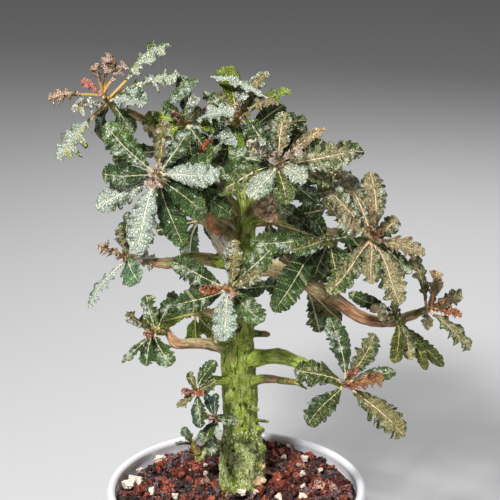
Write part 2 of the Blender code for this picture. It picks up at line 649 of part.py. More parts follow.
def carried_end(shoot):
    """The last two points of the limb that carries a shoot, in line with the shoot's stem."""
    centre, faces = place(*shoot["at"]), turned_to(shoot["faces"])
    thick = shoot["from"][-1][3]
    ends = ((LIMB_RUN_IN, 0.5 * (thick + STEM_RADIUS)), (0, STEM_RADIUS + STEM_TAPER))
    return [(*(centre - (STEM_LENGTH + GAP + run) * faces), radius) for run, radius in ends]


def build_tree(plan):
    """Trunk, limbs, knots and cut stubs, grown as one piece."""
    x, y, top = place(*TRUNK[0][:3])
    foot = [(x, y, GRAVEL_LEVEL - FOOT_DEPTH, FOOT_RADIUS), (x, y, top, FOOT_RADIUS)]
    above = [(*place(*spot[:3]), spot[3]) for spot in TRUNK[1:]]
    route = np.vstack([foot, smooth_route(above, TRUNK_STEP)])
    trunk = tube("trunk_and_branches", route, BARK, TRUNK_ROUNDNESS)
    for spot in trunk.data.vertices:
        if spot.co.z > (top + LIMB_RUN_IN) * MM:
            spot.co += spot.normal * noise.noise(spot.co * BARK_GRAIN) * BARK_UNEVENNESS * MM
    pieces = [limb(f"limb_{name}", route, LIMB_STEP) for name, route in LIMBS.items()]
    pieces += [limb(f"stub_{i}", route, STUB_STEP) for i, route in enumerate(STUBS)]
    pieces += [limb(f"carrier_{name}", shoot["from"], CARRIER_STEP, carried_end(shoot))
               for name, shoot in plan.items()]
    pieces += [knob(f"knot_{i}", place(*spot[:3]), spot[3], BARK, cutters) for i, spot in enumerate(KNOTS)]
    tree = joined(trunk, pieces)
    tree.data.shade_smooth()
    return tree


def build_shoots(plan, held):
    """A node for each shoot's stem with its leaves, and one for its young growth."""
    stems, buds = {}, {}
    for name, shoot in plan.items():
        centre, faces = place(*shoot["at"]), turned_to(shoot["faces"])
        foot = centre - STEM_LENGTH * faces
        finish = LEAF_KHAKI if name in KHAKI_SHOOTS else LEAF_GREEN
        route = [(*foot, STEM_RADIUS + STEM_TAPER), (*centre, STEM_RADIUS - STEM_TAPER)]
        stem = tube(f"{name}_leaves", route, finish, LIMB_ROUNDNESS)
        stems[name] = stem
        held.append((stem.name, skin_of(stem), skin_of(stem)))
        if shoot["young"]:
            low, high = centre + GAP * faces, centre + BUD_LENGTH * faces
            route = [(*low, BUD_RADIUS), (*high, BUD_RADIUS / 2)]
            bud = tube(f"{name}_young", route, LEAF_CORAL, LIMB_ROUNDNESS)
            buds[name] = bud
            held.append((bud.name, skin_of(bud), skin_of(bud)))
    for kind, bases in (("young", buds), ("leaves", stems)):
        for name, base in bases.items():
            grown = []
            for i, leaf in enumerate(plan[name][kind]):
                rows = next(count for least, count in ROWS_FROM_WIDTH if leaf[3] >= least)
                rings = bent_clear(base.name, plan_leaf(plan[name], i, kind, leaf), rows, held)
                if rings:
                    grown.append(lofted(f"{name}_{kind}_{i}", rings, base.data.materials[0], cutters))
            joined(base, grown)


whole_plan = plan_shoots()
carried = [build_pot(), build_tree(whole_plan), build_gravel(place(*TRUNK[0][:3]))]
standing = [(thing.name, skin_of(thing), skin_of(thing)) for thing in carried]
build_shoots(whole_plan, standing)
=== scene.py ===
"""The looks of a small Boswellia nana bonsai: glazed pot, lava gravel, barked tree and crisped leaves."""

import json
import math

import bmesh
import bpy
import numpy as np
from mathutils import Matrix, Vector, kdtree, noise
from mathutils.bvhtree import BVHTree

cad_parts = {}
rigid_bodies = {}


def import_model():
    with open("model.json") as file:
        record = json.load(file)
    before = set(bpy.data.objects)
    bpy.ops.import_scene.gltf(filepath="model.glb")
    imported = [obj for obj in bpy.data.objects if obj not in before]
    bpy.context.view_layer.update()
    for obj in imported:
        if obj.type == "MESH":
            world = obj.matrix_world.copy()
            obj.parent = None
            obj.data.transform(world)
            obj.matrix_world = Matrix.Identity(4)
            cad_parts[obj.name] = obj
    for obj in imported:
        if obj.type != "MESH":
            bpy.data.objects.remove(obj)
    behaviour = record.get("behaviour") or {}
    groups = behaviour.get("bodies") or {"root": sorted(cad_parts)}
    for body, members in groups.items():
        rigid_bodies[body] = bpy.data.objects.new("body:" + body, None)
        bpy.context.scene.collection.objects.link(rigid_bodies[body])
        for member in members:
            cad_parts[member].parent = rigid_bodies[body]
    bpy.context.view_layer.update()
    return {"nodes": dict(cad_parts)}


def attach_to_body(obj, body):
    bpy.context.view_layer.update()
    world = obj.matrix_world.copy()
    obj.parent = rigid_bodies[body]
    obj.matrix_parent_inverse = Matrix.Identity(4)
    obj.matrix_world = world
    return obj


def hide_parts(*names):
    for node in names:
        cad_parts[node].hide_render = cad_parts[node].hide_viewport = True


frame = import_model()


# The eye
# A long lens stands 0.94 m before the crown and looks a little down on it. The crown is laid out
# as this eye sees it: a place is (right, up, depth) in millimetres at the crown's middle plane.

MM = 0.001
EYE_DISTANCE = 936.0
EYE_TILT = math.radians(17.85)
SIGHT = np.array([8.8, 0.0, 238.5])
RIGHT = np.array([1.0, 0.0, 0.0])
UP = np.array([0.0, math.sin(EYE_TILT), math.cos(EYE_TILT)])
NEAR = np.array([0.0, -math.cos(EYE_TILT), math.sin(EYE_TILT)])
EYE_LENS, EYE_FILM = 112.3, 36


def seen(right, up, near):
    """The point that the eye sees right of and above its line of sight, this much nearer."""
    scale = 1 - near / EYE_DISTANCE
    return SIGHT + scale * (right * RIGHT + up * UP) + near * NEAR


def nearness(up, depth):
    """How much nearer than the sighted plane a point of a given depth lies."""
    return (up * UP[1] - depth) / (-NEAR[1] + up * UP[1] / EYE_DISTANCE)


def place(right, up, depth):
    return seen(right, up, nearness(up, depth))


def unit(v):
    return np.asarray(v, float) / np.linalg.norm(v)


def turned_to(faces):
    """A direction given as (right, up, near), in the object's own axes."""
    return unit(faces[0] * RIGHT + faces[1] * UP + faces[2] * NEAR)


lens = bpy.data.cameras.new("eye")
lens.lens = EYE_LENS
lens.sensor_width = EYE_FILM
lens.clip_start = 0.01
eye = bpy.data.objects.new("eye", lens)
eye.location = (SIGHT + EYE_DISTANCE * NEAR) * MM
eye.rotation_euler = Vector(-NEAR).to_track_quat("-Z", "Y").to_euler()
bpy.context.collection.objects.link(eye)
bpy.context.scene.camera = eye


# The pot
# A round stoneware bowl with a thick rolled lip, dipped in glossy white glaze that is left off the
# foot's underside. It is turned from one profile, and four drain holes are bored through its floor.

POT_HEIGHT, RIM_RADIUS, FOOT_RADIUS = 84.0, 81.5, 56.0
POT_WALL, POT_FLOOR, POT_FULLNESS = 4.0, 6.0, 0.8
LIP_RADIUS, LIP_HEIGHT, LIP_ROLL = RIM_RADIUS - 2.7, POT_HEIGHT - 2.9, 2.75
LIP_TURNS = np.radians(np.linspace(195, -30, 14))
DRAIN_RADIUS, DRAIN_RING, DRAIN_COUNT = 4.5, 30.0, 4
POT_STEPS, SHARP_FROM = 144, math.radians(50)
WATER_LINE, WATER_STAIN = (0.0735, 0.0775), 0.14
BARE_FOOT = (0.0006, 0.0016)


def wall_radius(height):
    """The bowl's outer radius at a height."""
    rise = min(1.0, max(0.0, height / POT_HEIGHT))
    return FOOT_RADIUS + (RIM_RADIUS - FOOT_RADIUS) * math.sin(rise * math.pi / 2) ** POT_FULLNESS


def linked(name, mesh):
    thing = bpy.data.objects.new(name, mesh)
    bpy.context.collection.objects.link(thing)
    return thing


def mesh_of(work, name):
    """The mesh of a finished bmesh."""
    mesh = bpy.data.meshes.new(name)
    work.to_mesh(mesh)
    work.free()
    return mesh


def evaluated(thing, name):
    """The plain mesh that an object's modifiers make, in a new object; the old one is removed."""
    bpy.context.view_layer.update()
    graph = bpy.context.evaluated_depsgraph_get()
    mesh = bpy.data.meshes.new_from_object(thing.evaluated_get(graph))
    bpy.data.objects.remove(thing, do_unlink=True)
    mesh.name = name
    return linked(name, mesh)


def turned(name, profile, steps):
    """A body turned about the pot's axis from (radius, height) points."""
    mesh = bpy.data.meshes.new(name)
    edges = [(i, i + 1) for i in range(len(profile) - 1)]
    mesh.from_pydata([(r * MM, 0, z * MM) for r, z in profile], edges, [])
    thing = linked(name, mesh)
    screw = thing.modifiers.new("turn", "SCREW")
    screw.steps = steps
    screw.render_steps = steps
    screw.use_merge_vertices = True
    screw.merge_threshold = 1e-6
    return evaluated(thing, name)


def facing_out(thing):
    work = bmesh.new()
    work.from_mesh(thing.data)
    bmesh.ops.remove_doubles(work, verts=work.verts, dist=1e-6)
    bmesh.ops.recalc_face_normals(work, faces=work.faces)
    work.to_mesh(thing.data)
    work.free()


class Web:
    """The nodes of a tree, with short ways to add more. Inputs are values or other nodes' sockets."""

    def __init__(self, tree):
        self.nodes, self.links = tree.nodes, tree.links

    def feed(self, socket, value):
        if isinstance(value, bpy.types.NodeSocket):
            self.links.new(value, socket)
        elif socket.type == "RGBA":
            socket.default_value = (*value, 1)
        else:
            socket.default_value = value

    def add(self, kind, inputs=(), **settings):
        """A new node with its settings, and its inputs by name or number."""
        made = self.nodes.new(kind)
        for name, value in settings.items():
            setattr(made, name, value)
        for name, value in dict(inputs).items():
            self.feed(made.inputs[name], value)
        return made

    def worked(self, way, one, two=0.0):
        return self.add("ShaderNodeMath", {0: one, 1: two}, operation=way).outputs[0]

    def plus(self, one, two):
        return self.worked("ADD", one, two)

    def minus(self, one, two):
        return self.worked("SUBTRACT", one, two)

    def times(self, one, two):
        return self.worked("MULTIPLY", one, two)

    def coordinates(self):
        return self.add("ShaderNodeTexCoord").outputs["Object"]

    def attribute(self, name, output="Fac"):
        return self.add("ShaderNodeAttribute", attribute_name=name).outputs[output]

    def stretched(self, vector, x, y, z):
        return self.add("ShaderNodeVectorMath", {0: vector, 1: (x, y, z)}, operation="MULTIPLY").outputs[0]

    def noise(self, vector, scale, detail=3.0):
        inputs = {"Vector": vector, "Scale": scale, "Detail": detail}
        return self.add("ShaderNodeTexNoise", inputs).outputs["Fac"]

    def cells(self, vector, scale, feature, output):
        made = self.add("ShaderNodeTexVoronoi", {"Vector": vector, "Scale": scale}, feature=feature)
        return made.outputs[output]

    def ranged(self, value, low, high, to_low=0.0, to_high=1.0):
        """Maps low to high smoothly on to_low to to_high."""
        inputs = {"Value": value, "From Min": low, "From Max": high, "To Min": to_low, "To Max": to_high}
        return self.add("ShaderNodeMapRange", inputs, interpolation_type="SMOOTHSTEP").outputs["Result"]

    def mixed(self, share, one, two, way="MIX"):
        """One colour mixed with two by a share."""
        made = self.add("ShaderNodeMix", data_type="RGBA", blend_type=way, clamp_factor=True)
        given = {"Factor_Float": share, "A_Color": one, "B_Color": two}
        for socket in made.inputs:
            if socket.identifier in given:
                self.feed(socket, given[socket.identifier])
        return next(s for s in made.outputs if s.identifier == "Result_Color")

    def coated(self, colour, coats):
        """A colour under coats of (share, colour), one after the other."""
        for share, coat in coats:
            colour = self.mixed(share, colour, coat)
        return colour

    def mottled(self, one, two, scale, low, high):
        """Two colours that drift into each other, with the mask of the second."""
        inputs = {"One": one, "Two": two, "Scale": scale, "Low": low, "High": high}
        return self.add("ShaderNodeGroup", inputs, node_tree=MOTTLE).outputs

    def bumped(self, height, strength, distance):
        inputs = {"Height": height, "Strength": strength, "Distance": distance}
        return self.add("ShaderNodeBump", inputs).outputs["Normal"]


class Finish(Web):
    """A new material's nodes."""

    def __init__(self, name):
        self.material = bpy.data.materials.new(name)
        self.material.use_nodes = True
        super().__init__(self.material.node_tree)

    def wear(self, inputs):
        """Feeds the material's shader."""
        for name, value in inputs.items():
            self.feed(self.nodes["Principled BSDF"].inputs[name], value)
        return self.material


def new_tree(name, kind, inputs, outputs):
    """An empty node tree with named sockets: the tree, its web, its inputs and its outputs."""
    tree = bpy.data.node_groups.new(name, kind)
    for way, sockets in (("INPUT", inputs), ("OUTPUT", outputs)):
        for label, sort, default in sockets:
            socket = tree.interface.new_socket(label, in_out=way, socket_type=f"NodeSocket{sort}")
            if default is not None:
                socket.default_value = default
    web = Web(tree)
    return tree, web, web.add("NodeGroupInput").outputs, web.add("NodeGroupOutput").inputs


floor_edge = wall_radius(POT_FLOOR) - POT_WALL
cove = [(0, POT_FLOOR), (floor_edge - 4, POT_FLOOR), (floor_edge - 1, POT_FLOOR + 1)]
inner = [(wall_radius(z) - POT_WALL, z) for z in np.linspace(POT_FLOOR + 3, POT_HEIGHT - 7, 22)]
lip = [(LIP_RADIUS + LIP_ROLL * math.cos(t), LIP_HEIGHT + LIP_ROLL * math.sin(t)) for t in LIP_TURNS]
outer = [(wall_radius(z), z) for z in np.linspace(POT_HEIGHT - 8, 2, 30)]
foot = [(FOOT_RADIUS + 0.6, 0.7), (FOOT_RADIUS - 0.4, 0), (0, 0)]
pot = turned("glazed_pot", cove + inner + lip + outer + foot, POT_STEPS)
facing_out(pot)
for turn in 2 * math.pi * (np.arange(DRAIN_COUNT) + 0.5) / DRAIN_COUNT:
    work = bmesh.new()
    bmesh.ops.create_cone(work, cap_ends=True, segments=32, radius1=DRAIN_RADIUS * MM,
                          radius2=DRAIN_RADIUS * MM, depth=4 * POT_FLOOR * MM)
    spot = Vector((DRAIN_RING * math.cos(turn), DRAIN_RING * math.sin(turn), 0)) * MM
    bmesh.ops.translate(work, verts=work.verts, vec=spot)
    drain = linked("drain", mesh_of(work, "drain"))
    pot.modifiers.new("bore", "BOOLEAN").object = drain
    pot = evaluated(pot, "glazed_pot")
    bpy.data.objects.remove(drain, do_unlink=True)

# Mottle is an uneven drift between two colours
MOTTLE, web, given, put_out = new_tree(
    "mottle", "ShaderNodeTree",
    [("One", "Color", (1, 1, 1, 1)), ("Two", "Color", (0, 0, 0, 1)), ("Scale", "Float", 100.0),
     ("Low", "Float", 0.4), ("High", "Float", 0.6)],
    [("Color", "Color", None), ("Mask", "Float", None)])
mask = web.ranged(web.noise(web.coordinates(), given["Scale"], 5.0), given["Low"], given["High"])
web.feed(put_out["Color"], web.mixed(mask, given["One"], given["Two"]))
web.feed(put_out["Mask"], mask)

glaze = Finish("white_glaze")
where = glaze.coordinates()
height = glaze.add("ShaderNodeSeparateXYZ", {0: where}).outputs[2]
body = glaze.mottled((0.84, 0.83, 0.86), (0.76, 0.76, 0.82), 34.0, 0.35, 0.75)["Color"]
scum = glaze.mottled(body, (0.52, 0.42, 0.34), 160.0, 0.58, 0.74)["Color"]
stain = glaze.times(glaze.ranged(height, *WATER_LINE, 1.0, 0.0), WATER_STAIN)
bare = glaze.ranged(height, *BARE_FOOT, 1.0, 0.0)
pot.data.materials.append(glaze.wear({
    "Base Color": glaze.coated(body, [(stain, scum), (bare, (0.55, 0.45, 0.35))]),
    "Roughness": glaze.ranged(bare, 0.0, 1.0, 0.16, 0.75), "Coat Weight": 0.4, "Coat Roughness": 0.06,
    "Normal": glaze.bumped(glaze.noise(where, 260.0, 2.0), 0.12, 0.0004)}))
pot.data.shade_smooth()
pot.data.set_sharp_from_angle(angle=SHARP_FROM)
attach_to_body(pot, "root")
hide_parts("pot")


# The gravel
# Loose crushed lava of 3 to 7 mm, rust red to near black with a few mauve and tan grains, over a
# bed of the same. It is heaped up behind the trunk, and pumice lumps lie among the top grains.

GRAVEL_LEVEL, GRAVEL_SLOPE = 74.5, 0.02
HEAP_HEIGHT, HEAP_MIDDLE, HEAP_REACH = 5.5, 6.0, 42.0
HEAP_FROM, HEAP_RUN = -90, 165
TRUNK_SPOT = place(-5.0, -143, 10)
TRUNK_FOOT, FOOT_DEPTH = 15.0, 31.0
BED_RINGS, BED_STEPS, BED_SUNK, BED_UNEVEN = 34, 96, 1.6, 1.1
# How far the bed keeps off the trunk's foot, and off the pot's wall at its top and its bottom
BED_OFF_FOOT, BED_OFF_WALL, BED_OFF_COVE = 0.4, 1.3, 5
GRAIN_SHAPES, GRAIN_BREAKS, GRAIN_UNEVEN = 9, 4, 1.4
GRAIN_CUBE, GRAIN_ROUND, LEAST_BREAK, MOST_BREAK = 0.6, 0.5, 0.20, 0.40
LEAST_GRAIN, MOST_GRAIN = 0.55, 1.55
# Spots to a square metre before the spacing thins them out
MOST_DENSE = 400000
# How near the wall and how far into the trunk a grain may lie, how near a lump by the lump's size,
# and how much of a grain's own reach counts
OFF_WALL, INTO_TRUNK, OFF_LUMP, GRAIN_REACH = 0.6, 0.5, 0.45, 0.8
# Pumice lumps: how far right of the pot's middle and how far behind it each lies, and its size
PUMICE = [(-69.5, 14, 8), (-63.5, 21, 8.6), (-63, 35, 3.9), (-51, 51, 6.4), (-20.3, 34, 2.6),
          (-19.6, 22.6, 4), (-54, 4, 5.1), (-38, -5, 4.4), (3, -9.5, 5.8), (12, -8.5, 4), (31, 43, 4),
          (44.5, 44, 4.8), (34.7, 60.5, 3.2), (43.5, 21.5, 5), (53.5, 28, 4.2), (42.5, 5, 4), (42, -9.6, 5),
          (26, -11, 5), (16, -48, 4.6), (-28, -42, 4.4), (-46, -50, 4), (58, -28, 3.6), (30, -60, 4.2),
          (-10, -62, 3.6)]
# How far a lump's middle lies above the fill, and how much more where it leans on the trunk
PUMICE_LIFT, PUMICE_LEAN, LEANS_WITHIN, PUMICE_SWELL, PUMICE_SQUASH = 2.9, 2.6, 8, 1.25, 0.8
# The lava's tones, each from its share of the grains on
LAVA_TONES = [(0, (0.27, 0.046, 0.02)), (0.17, (0.11, 0.02, 0.013)), (0.32, (0.36, 0.066, 0.028)),
              (0.46, (0.04, 0.024, 0.024)), (0.58, (0.19, 0.048, 0.034)), (0.68, (0.2, 0.12, 0.125)),
              (0.79, (0.44, 0.1, 0.045)), (0.86, (0.05, 0.024, 0.02)), (0.95, (0.56, 0.3, 0.21))]
# The lower grains and the bed are this much darker: painted shade for the stones that lie under the top ones
LOWER_SHADE = 0.4


def gravel_top(x, y):
    """The level of the fill, which is heaped up behind the trunk."""
    share = min(1.0, max(0.0, (y - HEAP_FROM) / HEAP_RUN))
    heap = HEAP_HEIGHT * math.exp(-((x - HEAP_MIDDLE) / HEAP_REACH) ** 2) * share * share * (3 - 2 * share)
    return GRAVEL_LEVEL + GRAVEL_SLOPE * x + heap


def from_trunk(x, y):
    return math.hypot(x - TRUNK_SPOT[0], y - TRUNK_SPOT[1])


def grain(name, rng, fineness, squash):
    """A broken stone: a knobbly ball with a few flat breaks, a little squashed."""
    work = bmesh.new()
    bmesh.ops.create_cube(work, size=GRAIN_CUBE)
    bmesh.ops.subdivide_edges(work, edges=work.edges, cuts=fineness, use_grid_fill=True)
    for spot in work.verts:
        spot.co *= GRAIN_ROUND / max(0.4, spot.co.length) ** 0.8
    shift = Vector(rng.uniform(0, 9, 3))
    for spot in work.verts:
        knobs = 0.9 * noise.noise(spot.co * 2.4 + shift) + 0.5 * noise.noise(spot.co * 6.5 + shift)
        spot.co += spot.co * knobs
    for _ in range(GRAIN_BREAKS):
        way = Vector(unit(rng.normal(size=3)))
        reach = rng.uniform(LEAST_BREAK, MOST_BREAK)
        for spot in work.verts:
            spot.co -= max(0.0, spot.co.dot(way) - reach) * way
    for spot in work.verts:
        spot.co.z *= squash
    bmesh.ops.triangulate(work, faces=work.faces)
    return mesh_of(work, name)


rng = np.random.default_rng(11)
shapes = bpy.data.collections.new("grain_shapes")
for i in range(GRAIN_SHAPES):
    shape = grain(f"grain_{i}", rng, 1, rng.uniform(0.75, 1.0))
    shapes.objects.link(bpy.data.objects.new(f"grain_{i}", shape))

# The bed is a closed body just under the grains, with a hole for the trunk's foot
hole, reach = TRUNK_FOOT + BED_OFF_FOOT, wall_radius(GRAVEL_LEVEL) - POT_WALL - BED_OFF_WALL
spots, faces = [], []
for i in range(BED_RINGS + 1):
    for j in range(BED_STEPS):
        turn = 2 * math.pi * j / BED_STEPS
        way = np.array([math.cos(turn), math.sin(turn)])
        near = TRUNK_SPOT[:2] + hole * way
        spot = near + (reach * way - near) * i / BED_RINGS
        bump = BED_UNEVEN * noise.noise(Vector((*spot * 0.35, 3.0)))
        spots.append((*spot, gravel_top(*spot) - BED_SUNK + bump))
        if i < BED_RINGS:
            low, next_low = i * BED_STEPS + j, i * BED_STEPS + (j + 1) % BED_STEPS
            faces.append([low, low + BED_STEPS, next_low + BED_STEPS, next_low])
mesh = bpy.data.meshes.new("bed_top")
mesh.from_pydata([Vector(s) * MM for s in spots], [], faces)
bed_top = linked("bed_top", mesh)

# The scatter's tree: spots on a surface, a random shape on each, turned out from the surface,
# tumbled and sized at random, and lifted straight up
SCATTER, web, given, put_out = new_tree(
    "scatter", "GeometryNodeTree",
    [("Geometry", "Geometry", None), ("Shapes", "Collection", None), ("Last Shape", "Int", 6),
     ("Spacing", "Float", 0.003), ("Size", "Float", 0.0046), ("Least", "Float", 0.5), ("Most", "Float", 1.5),
     ("Lift", "Float", 0.0), ("Unevenness", "Float", 0.0), ("Tumble", "Vector", (6.3, 6.3, 6.3)),
     ("Seed", "Int", 1), ("Finish", "Material", None)],
    [("Geometry", "Geometry", None)])


def random_value(kind, low, high, seed_step):
    """A random value between two ends, seeded from the scatter's own seed."""
    made = web.add("FunctionNodeRandomValue", {"Seed": web.plus(given["Seed"], seed_step)}, data_type=kind)
    ends = [s for s in made.inputs if s.enabled and s.name in ("Min", "Max")]
    for socket, value in zip(ends, (low, high)):
        web.feed(socket, value)
    return next(s for s in made.outputs if s.enabled)


spread = web.add("GeometryNodeDistributePointsOnFaces", {
    "Mesh": given["Geometry"], "Distance Min": given["Spacing"], "Density Max": MOST_DENSE,
    "Seed": given["Seed"]}, distribute_method="POISSON")
uneven = web.times(random_value("FLOAT", -1.0, 1.0, 1), given["Unevenness"])
rise = web.add("ShaderNodeCombineXYZ", {"Z": web.plus(uneven, given["Lift"])})
lift = web.add("GeometryNodeSetPosition", {"Geometry": spread.outputs["Points"], "Offset": rise.outputs[0]})
pick = web.add("GeometryNodeCollectionInfo", {
    "Collection": given["Shapes"], "Separate Children": True, "Reset Children": True})
turn = web.add("FunctionNodeEulerToRotation", {
    0: random_value("FLOAT_VECTOR", (0, 0, 0), given["Tumble"], 3)})
tumbled = web.add("FunctionNodeRotateRotation", {0: spread.outputs["Rotation"], 1: turn.outputs[0]},
                  rotation_space="LOCAL")
swell = random_value("FLOAT", given["Least"], given["Most"], 4)
strew = web.add("GeometryNodeInstanceOnPoints", {
    "Points": lift.outputs[0], "Instance": pick.outputs[0], "Pick Instance": True,
    "Instance Index": random_value("INT", 0, given["Last Shape"], 2), "Rotation": tumbled.outputs[0],
    "Scale": web.times(swell, given["Size"])})
tint = web.add("GeometryNodeStoreNamedAttribute", {
    "Geometry": strew.outputs[0], "Name": "tone", "Value": random_value("FLOAT", 0.0, 1.0, 5)},
    data_type="FLOAT", domain="INSTANCE")
real = web.add("GeometryNodeRealizeInstances", {0: tint.outputs[0]})
finished = web.add("GeometryNodeSetMaterial", {"Geometry": real.outputs[0], "Material": given["Finish"]})
web.feed(put_out["Geometry"], finished.outputs[0])


def strewn(name, host, shapes, values):
    """Shapes scattered over a host mesh, as a plain mesh. Values are the scatter's other inputs."""
    layer = linked(name, host.copy())
    scatter = layer.modifiers.new("scatter", "NODES")
    scatter.node_group = SCATTER
    values = {"Shapes": shapes, "Last Shape": len(shapes.objects) - 1, **values}
    for item in SCATTER.interface.items_tree:
        if item.in_out == "INPUT" and item.name in values:
            scatter[item.identifier] = values[item.name]
    return evaluated(layer, name)


def lava_finish(name, bright):
    """Porous lava, each grain in a tone of its own; a brightness below 1 paints the lava in shade."""
    lava = Finish(name)
    ramp = lava.add("ShaderNodeValToRGB", {0: lava.attribute("tone")})
    ramp.color_ramp.interpolation = "CONSTANT"
    stops = ramp.color_ramp.elements
    while len(stops) < len(LAVA_TONES):
        stops.new(0.5)
    for stop, (at, colour) in zip(stops, LAVA_TONES):
        stop.position = at
        stop.color = (*(bright * part for part in colour), 1)
    # Pale pink patches: dust on the grains, and also painted highlights
    dusty = lava.mottled(ramp.outputs[0], (0.66, 0.33, 0.26), 430.0, 0.60, 0.72)["Color"]
    # Near-black pits: painted shade inside the pores of the lava
    shaded_pits = lava.mottled(dusty, (0.010, 0.006, 0.005), 760.0, 0.52, 0.58)
    rough = lava.noise(lava.coordinates(), 1000.0, 4.0)
    return lava.wear({"Base Color": shaded_pits["Color"], "Roughness": 0.62,
                      "Normal": lava.bumped(lava.minus(rough, shaded_pits["Mask"]), 1.0, 0.0008)})


def kept_clear(thing):
    """Drops the grains that would reach into the pot's wall, the trunk or a pumice lump."""
    work = bmesh.new()
    work.from_mesh(thing.data)
    bmesh.ops.remove_doubles(work, verts=work.verts, dist=1e-9)
    todo = set(work.verts)
    doomed = []
    while todo:
        stack, island = [todo.pop()], []
        while stack:
            spot = stack.pop()
            island.append(spot)
            fresh = {edge.other_vert(spot) for edge in spot.link_edges} & todo
            todo -= fresh
            stack += fresh
        middle = sum((s.co for s in island), Vector()) / len(island) / MM
        far = max((s.co / MM - middle).length for s in island)
        edge = wall_radius(middle.z) - POT_WALL - OFF_WALL
        out = math.hypot(middle.x, middle.y) + GRAIN_REACH * far > edge
        inside = from_trunk(middle.x, middle.y) < TRUNK_FOOT - INTO_TRUNK
        lump = any(math.hypot(middle.x - x, middle.y - y) < OFF_LUMP * size for x, y, size in PUMICE)
        if out or inside or lump:
            doomed += island
    bmesh.ops.delete(work, geom=doomed, context="VERTS")
    work.to_mesh(thing.data)
    work.free()


# The second finish is the same lava darkened as painted shade, for the lower grains and the bed
lava, shaded_lava = lava_finish("lava", 1.0), lava_finish("shaded_lava", LOWER_SHADE)
grains = []
for name, spacing, size, lift, seed, finish in (("lower_grains", 3.4, 6.0, 0.2, 5, shaded_lava),
                                                ("upper_grains", 5.5, 7.6, 2.4, 9, lava)):
    layer = strewn(name, bed_top.data, shapes, {
        "Spacing": spacing * MM, "Size": size * MM, "Least": LEAST_GRAIN, "Most": MOST_GRAIN,
        "Lift": lift * MM, "Unevenness": GRAIN_UNEVEN * MM, "Seed": seed, "Finish": finish})
    kept_clear(layer)
    grains.append(layer)

work = bmesh.new()
for x, y, size in PUMICE:
    lump = grain("lump", rng, 4, PUMICE_SQUASH)
    lean = PUMICE_LEAN if from_trunk(x, y) < TRUNK_FOOT + LEANS_WITHIN else 0.0
    middle = Vector((x, y, gravel_top(x, y) + PUMICE_LIFT + lean)) * MM
    for spot in lump.vertices:
        spot.co = middle + spot.co * size * PUMICE_SWELL * MM
    work.from_mesh(lump)
lumps = linked("pumice_lumps", mesh_of(work, "pumice_lumps"))
pumice = Finish("pumice")
cream = pumice.mottled((0.84, 0.76, 0.66), (0.62, 0.48, 0.36), 330.0, 0.42, 0.72)["Color"]
pocked = pumice.mottled(cream, (0.38, 0.28, 0.20), 1700.0, 0.60, 0.72)
lumps.data.materials.append(pumice.wear({
    "Base Color": pocked["Color"], "Roughness": 0.9,
    "Normal": pumice.bumped(pumice.minus(1.0, pocked["Mask"]), 0.7, 0.0004)}))

# The bed's sides go down to the pot's floor and round the trunk's foot
work = bmesh.new()
work.from_mesh(bed_top.data)
skirt = bmesh.ops.extrude_edge_only(work, edges=[e for e in work.edges if e.is_boundary])
for spot in skirt["geom"]:
    if isinstance(spot, bmesh.types.BMVert):
        away = math.hypot(spot.co.x, spot.co.y)
        if away > 0.5 * RIM_RADIUS * MM:
            spot.co *= (floor_edge - BED_OFF_COVE) * MM / away
            spot.co.z = (POT_FLOOR + 0.3) * MM
        else:
            spot.co.z = (GRAVEL_LEVEL - FOOT_DEPTH - BED_OFF_FOOT) * MM
bmesh.ops.holes_fill(work, edges=[e for e in work.edges if e.is_boundary])
bmesh.ops.recalc_face_normals(work, faces=work.faces)
bed = linked("gravel_bed", mesh_of(work, "gravel_bed"))
# The bed takes only the darkest tones, painted shade for the stones deep under the top ones
shaded_bed_tones = np.random.default_rng(3).choice([0.2, 0.5, 0.5], len(bed.data.vertices))
bed.data.attributes.new("tone", "FLOAT", "POINT").data.foreach_set("value", shaded_bed_tones.astype(np.float32))
bed.data.materials.append(shaded_lava)
bpy.data.objects.remove(bed_top, do_unlink=True)
for layer in (bed, lumps, *grains):
    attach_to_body(layer, "root")
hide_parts("gravel")



# The tree
# A swollen green trunk with knots, cut stubs and tan limbs, grown as one piece of succulent wood.
# Every limb is a tube along its route; the tubes are fused by a fine remesh and then roughened.

# Each route is a list of (right, up, depth, radius)
TRUNK = [(-5, -143, 10, 14.6), (-4.8, -130, 10, 14), (-4.8, -118, 10, 13), (-5.4, -103, 10, 11),
         (-6.3, -83, 10, 11.1), (-7.5, -60, 9, 10.3), (-7.2, -50, 9, 9.6), (-5.4, -30, 8, 8.6),
         (-4, -14, 8, 8), (-1.5, 4, 8, 5.4), (-0.6, 18, 6, 4.8), (8, 25, 5, 7.2), (15, 27, 3, 6)]
LIMBS = {
    "left": [(-5, -16, 8, 6.5), (-14, 5, 7, 8.2), (-24, 17, 4, 4.8), (-34, 27, -2, 3.8)],
    "far_left": [(-24, 17, 4, 4.2), (-36, 42, 8, 3.6), (-48, 62, 12, 3), (-59, 75, 12, 2.7)],
    "top": [(0, 18, 6, 4.6), (-5, 42, 10, 3.8), (-8, 60, 12, 3)],
    "right": [(-4, -12, 8, 6.4), (8, -10, 11, 6), (24, -15, 13, 5.2), (50, -29, 14, 4.3),
              (67, -40.5, 12, 3.7), (82, -43, 10, 3.3), (93, -42, 8, 3)],
    "back": [(-4, -14, 8, 6.6), (-4, 4, 34, 5.6), (-4, 26, 56, 4.6)],
    "front_right": [(-4, -66, 8, 5.4), (9, -64, -2, 5), (18, -64, -8, 4.7), (28, -67, -14, 4.2),
                    (45, -75, -20, 3.4)]}
